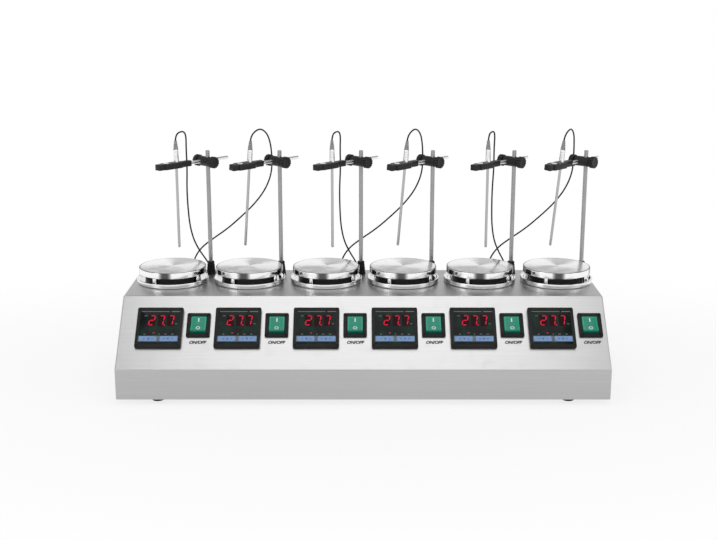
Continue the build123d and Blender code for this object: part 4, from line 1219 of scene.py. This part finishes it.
relief_foot = handle_top + 0.0006
relief_outline = [(0, handle_top + 0.00005), (relief_radius, handle_top + 0.00005)]
for rib in range(relief_ribs):
    low = relief_foot + rib * relief_pitch
    high = low + relief_pitch
    width = relief_radius - relief_taper * (rib + 0.5) / relief_ribs
    relief_outline += [(width + rib_proud, low + rib_fall), (width + rib_proud, high - 2 * rib_fall),
                       (width - rib_fall, high - rib_fall)]
relief_outline += [(relief_radius - relief_taper, relief_top - rib_fall), (relief_tip, relief_top),
                   (0, relief_top)]
relief_mesh = turned("relief", relief_outline, 36, at_probe)
for n in stations:
    place = arm_place(n, arm_turn[n % 2])
    body = f"probe_arm_{n}"
    for name, pattern, finish, slot, stands_for in (
        ("holder", holder_mesh, black_alloy, "black_alloy", [f"probe_arm_{n}"]),
        ("cross_rod", cross_rod, chrome, "chrome", []),
        ("lip", lip_ring, chrome, "chrome", []),
        ("probe_stem", stem_mesh, probe_steel, "probe_steel", [f"probe_{n}"]),
        ("probe_handle", handle_mesh, bright_steel, "probe_steel", []),
        ("probe_relief", relief_mesh, relief_grey, "black_rubber", []),
    ):
        mesh = pattern.copy()
        mesh.transform(place)
        add_piece(f"{name}_{n}", mesh, [finish], body, stands_for)

# Probe cables: limp black rubber leads, 2.6 mm across, that come up out of each probe, loop over
# and drop behind the housing into their plugs. Each is drawn in two lengths that meet above the
# boss head.
cable_radius, cable_sides = 0.0013, 12
cable_cut = 4  # the route's point where the two lengths meet
cable_routes = {  # from the stand rod's foot, on odd and on even stations
    1: (
        (-0.0476, -0.0349, 0.23385), (-0.0472, -0.0344, 0.2390), (-0.0445, -0.0280, 0.2452),
        (-0.0370, -0.0150, 0.2462), (-0.0340, -0.0065, 0.2380), (-0.0348, -0.0055, 0.2160),
        (-0.0342, -0.0056, 0.1830), (-0.0360, -0.0050, 0.1480), (-0.0356, -0.0020, 0.1140),
        (-0.0340, 0.0025, 0.0830), (-0.0290, 0.0090, 0.0560), (-0.0200, 0.0160, 0.0350),
        (-0.0095, 0.0250, 0.0160), (-0.0035, 0.0325, 0.0000), (-0.0030, 0.0345, -0.0140),
        (-0.0030, 0.0345, -0.0250),
    ),
    0: (
        (-0.0445, -0.0379, 0.23365), (-0.0439, -0.0383, 0.2395), (-0.0380, -0.0310, 0.2480),
        (-0.0290, -0.0140, 0.2505), (-0.0205, 0.0080, 0.2390), (-0.0165, 0.0250, 0.2200),
        (-0.0150, 0.0325, 0.1960), (-0.0160, 0.0335, 0.1680), (-0.0270, 0.0335, 0.1400),
        (-0.0460, 0.0325, 0.1150), (-0.0690, 0.0315, 0.0930), (-0.0930, 0.0310, 0.0720),
        (-0.1190, 0.0315, 0.0540), (-0.1400, 0.0320, 0.0380), (-0.1525, 0.0330, 0.0190),
        (-0.1565, 0.0345, 0.0000), (-0.1570, 0.0345, -0.0130), (-0.1570, 0.0345, -0.0250),
    ),
}


def tube(name, path, radius, sides):
    """A closed round tube along a path, whose rings don't twist."""
    solid = bmesh.new()
    rings = []
    across = None
    for i, point in enumerate(path):
        along = (path[min(i + 1, len(path) - 1)] - path[max(i - 1, 0)]).normalized()
        across = along.orthogonal() if across is None else across - along * across.dot(along)
        across.normalize()
        over = along.cross(across)
        turns = [2 * math.pi * side / sides for side in range(sides)]
        rings.append([
            solid.verts.new(point + radius * (across * math.cos(turn) + over * math.sin(turn)))
            for turn in turns
        ])
    for ring, following in zip(rings, rings[1:]):
        for side in range(sides):
            after = (side + 1) % sides
            solid.faces.new((ring[side], ring[after], following[after], following[side]))
    solid.faces.new(reversed(rings[0]))
    solid.faces.new(rings[-1])
    mesh = bpy.data.meshes.new(name)
    solid.to_mesh(mesh)
    solid.free()
    return smooth(mesh)


def nurbs_line(points):
    """Points along the smooth spline that has these control points."""
    curve = bpy.data.curves.new("cable_route", "CURVE")
    curve.dimensions = "3D"
    curve.resolution_u = 8
    spline = curve.splines.new("NURBS")
    spline.points.add(len(points) - 1)
    for control, point in zip(spline.points, points):
        control.co = (*point, 1)
    spline.order_u = 3
    spline.use_endpoint_u = True
    route = bpy.data.objects.new("cable_route", curve)
    bpy.context.scene.collection.objects.link(route)
    mesh = bpy.data.meshes.new_from_object(route)
    line = [vertex.co.copy() for vertex in mesh.vertices]
    bpy.data.objects.remove(route)
    return line


def line_length(line):
    return sum((b - a).length for a, b in zip(line, line[1:]))


for n in stations:
    route = [rod_foot[n] + Vector(point) for point in cable_routes[n % 2]]
    line = nurbs_line(route)
    cut = min(range(len(line)), key=lambda i: (line[i] - route[cable_cut]).length)
    lengths = {"lower": line[:cut - 1:-1], "upper": line[cut::-1]}
    for part, path in lengths.items():
        name = f"probe_cable_{n}_{part}"
        lead = add_piece(name, tube(name, path, cable_radius, cable_sides), [black_rubber], None,
                         [f"probe_cable_{n}"])
        if part == "lower":
            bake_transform(lead)
        else:
            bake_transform(lead)
        plugs = ["probe_plugs"] if (n, part) == (1, "lower") else []
        line_length(path)

# Rear controls: potentiometers in the panel, fluted knobs on their shafts with a white pointer,
# plated probe sockets, angled plugs and the mains inlet.
pot_aside, pot_z = -0.024, 0.062
dial_low, dial_length, dial_bore, dial_bore_foot = 0.0055, 0.015, 0.003, -0.0065
dial_skirt, dial_skirt_height, dial_grip = 0.012, 0.002, 0.0097
dial_face, dial_hollow, dial_dish = 0.0085, 0.008, 0.0004
dial_flutes, dial_flute_depth = 16, 0.0009
dial_top = dial_low + dial_length


def plated(place):
    haze = place.noise(180, 3)
    return {"Base Color": haze.mix(grey(0.55, 0.01), grey(0.75)), "Roughness": 0.2 + haze * 0.15}


nickel = new_finish("nickel", {"Metallic": 1.0}, plated)
refinish("speed_controls", nickel)
refinish("probe_sockets", nickel)
refinish("probe_plugs", black_plastic)
refinish("power_inlet", black_plastic)
dial_mesh = fluted("speed_knob", eased([
    (0, dial_bore_foot), (dial_bore, dial_bore_foot), (dial_bore, dial_low), (dial_skirt, dial_low),
    (dial_skirt + 0.0002, dial_low + dial_skirt_height), (dial_grip, dial_top), (dial_face, dial_top),
    (dial_hollow, dial_top - dial_dish), (0, dial_top - dial_dish),
], 0.0006, 3), dial_flutes, dial_flute_depth, dial_grip - 0.0005, black_plastic)
pointer_width, pointer_length, pointer_out = 0.0012, 0.007, 0.0055
pointer_outline = rectangle(pointer_width, pointer_length, 0.0004)
pointer_solid = prism(pointer_outline, dial_top - 0.0006, dial_top + 0.00002, 0)
pointer = as_mesh(pointer_solid, "pointer", Matrix.Translation((0, pointer_out, 0)))
white_print = new_finish("white_print", {"Roughness": 0.5}, printed((0.85, 0.85, 0.85, 1)))
facing_rear = Matrix(((-1, 0, 0), (0, 0, 1), (0, 1, 0))).to_4x4()
for n in stations:
    outwards = Matrix.Translation((station_x[n] + pot_aside, rear_y, pot_z)) @ facing_rear
    for name, pattern, finish, stands_for in (
        ("speed_knob_grip", dial_mesh, black_plastic, [f"speed_knob_{n}"]),
        ("speed_knob_pointer", pointer, white_print, []),
    ):
        mesh = pattern.copy()
        mesh.transform(outwards)
        add_piece(f"{name}_{n}", mesh, [finish], f"speed_knob_{n}", stands_for)

# Inside, seen only through the vent slots: painted stirring motors that hang on brackets, each with
# its magnet rotor under a plate, and the power board of green laminate on the tray.


def painted_grey(place):
    speckle = place.noise(300, 3)
    return {"Base Color": speckle.mix(grey(0.2), grey(0.32)), "Roughness": 0.4 + speckle * 0.2}


def laminate(place):
    weave = place.noise(500, 2)
    return {
        "Base Color": weave.mix((0.02, 0.12, 0.05, 1), (0.04, 0.2, 0.09, 1)),
        "Roughness": 0.35 + weave * 0.2,
    }


motor_grey = new_finish("motor_grey", {"Metallic": 0.6}, painted_grey)
refinish("stirrer_motors", motor_grey)
refinish("power_board", new_finish("board_green", {}, laminate))
for n in stations:
    refinish(f"magnet_rotor_{n}", motor_grey)
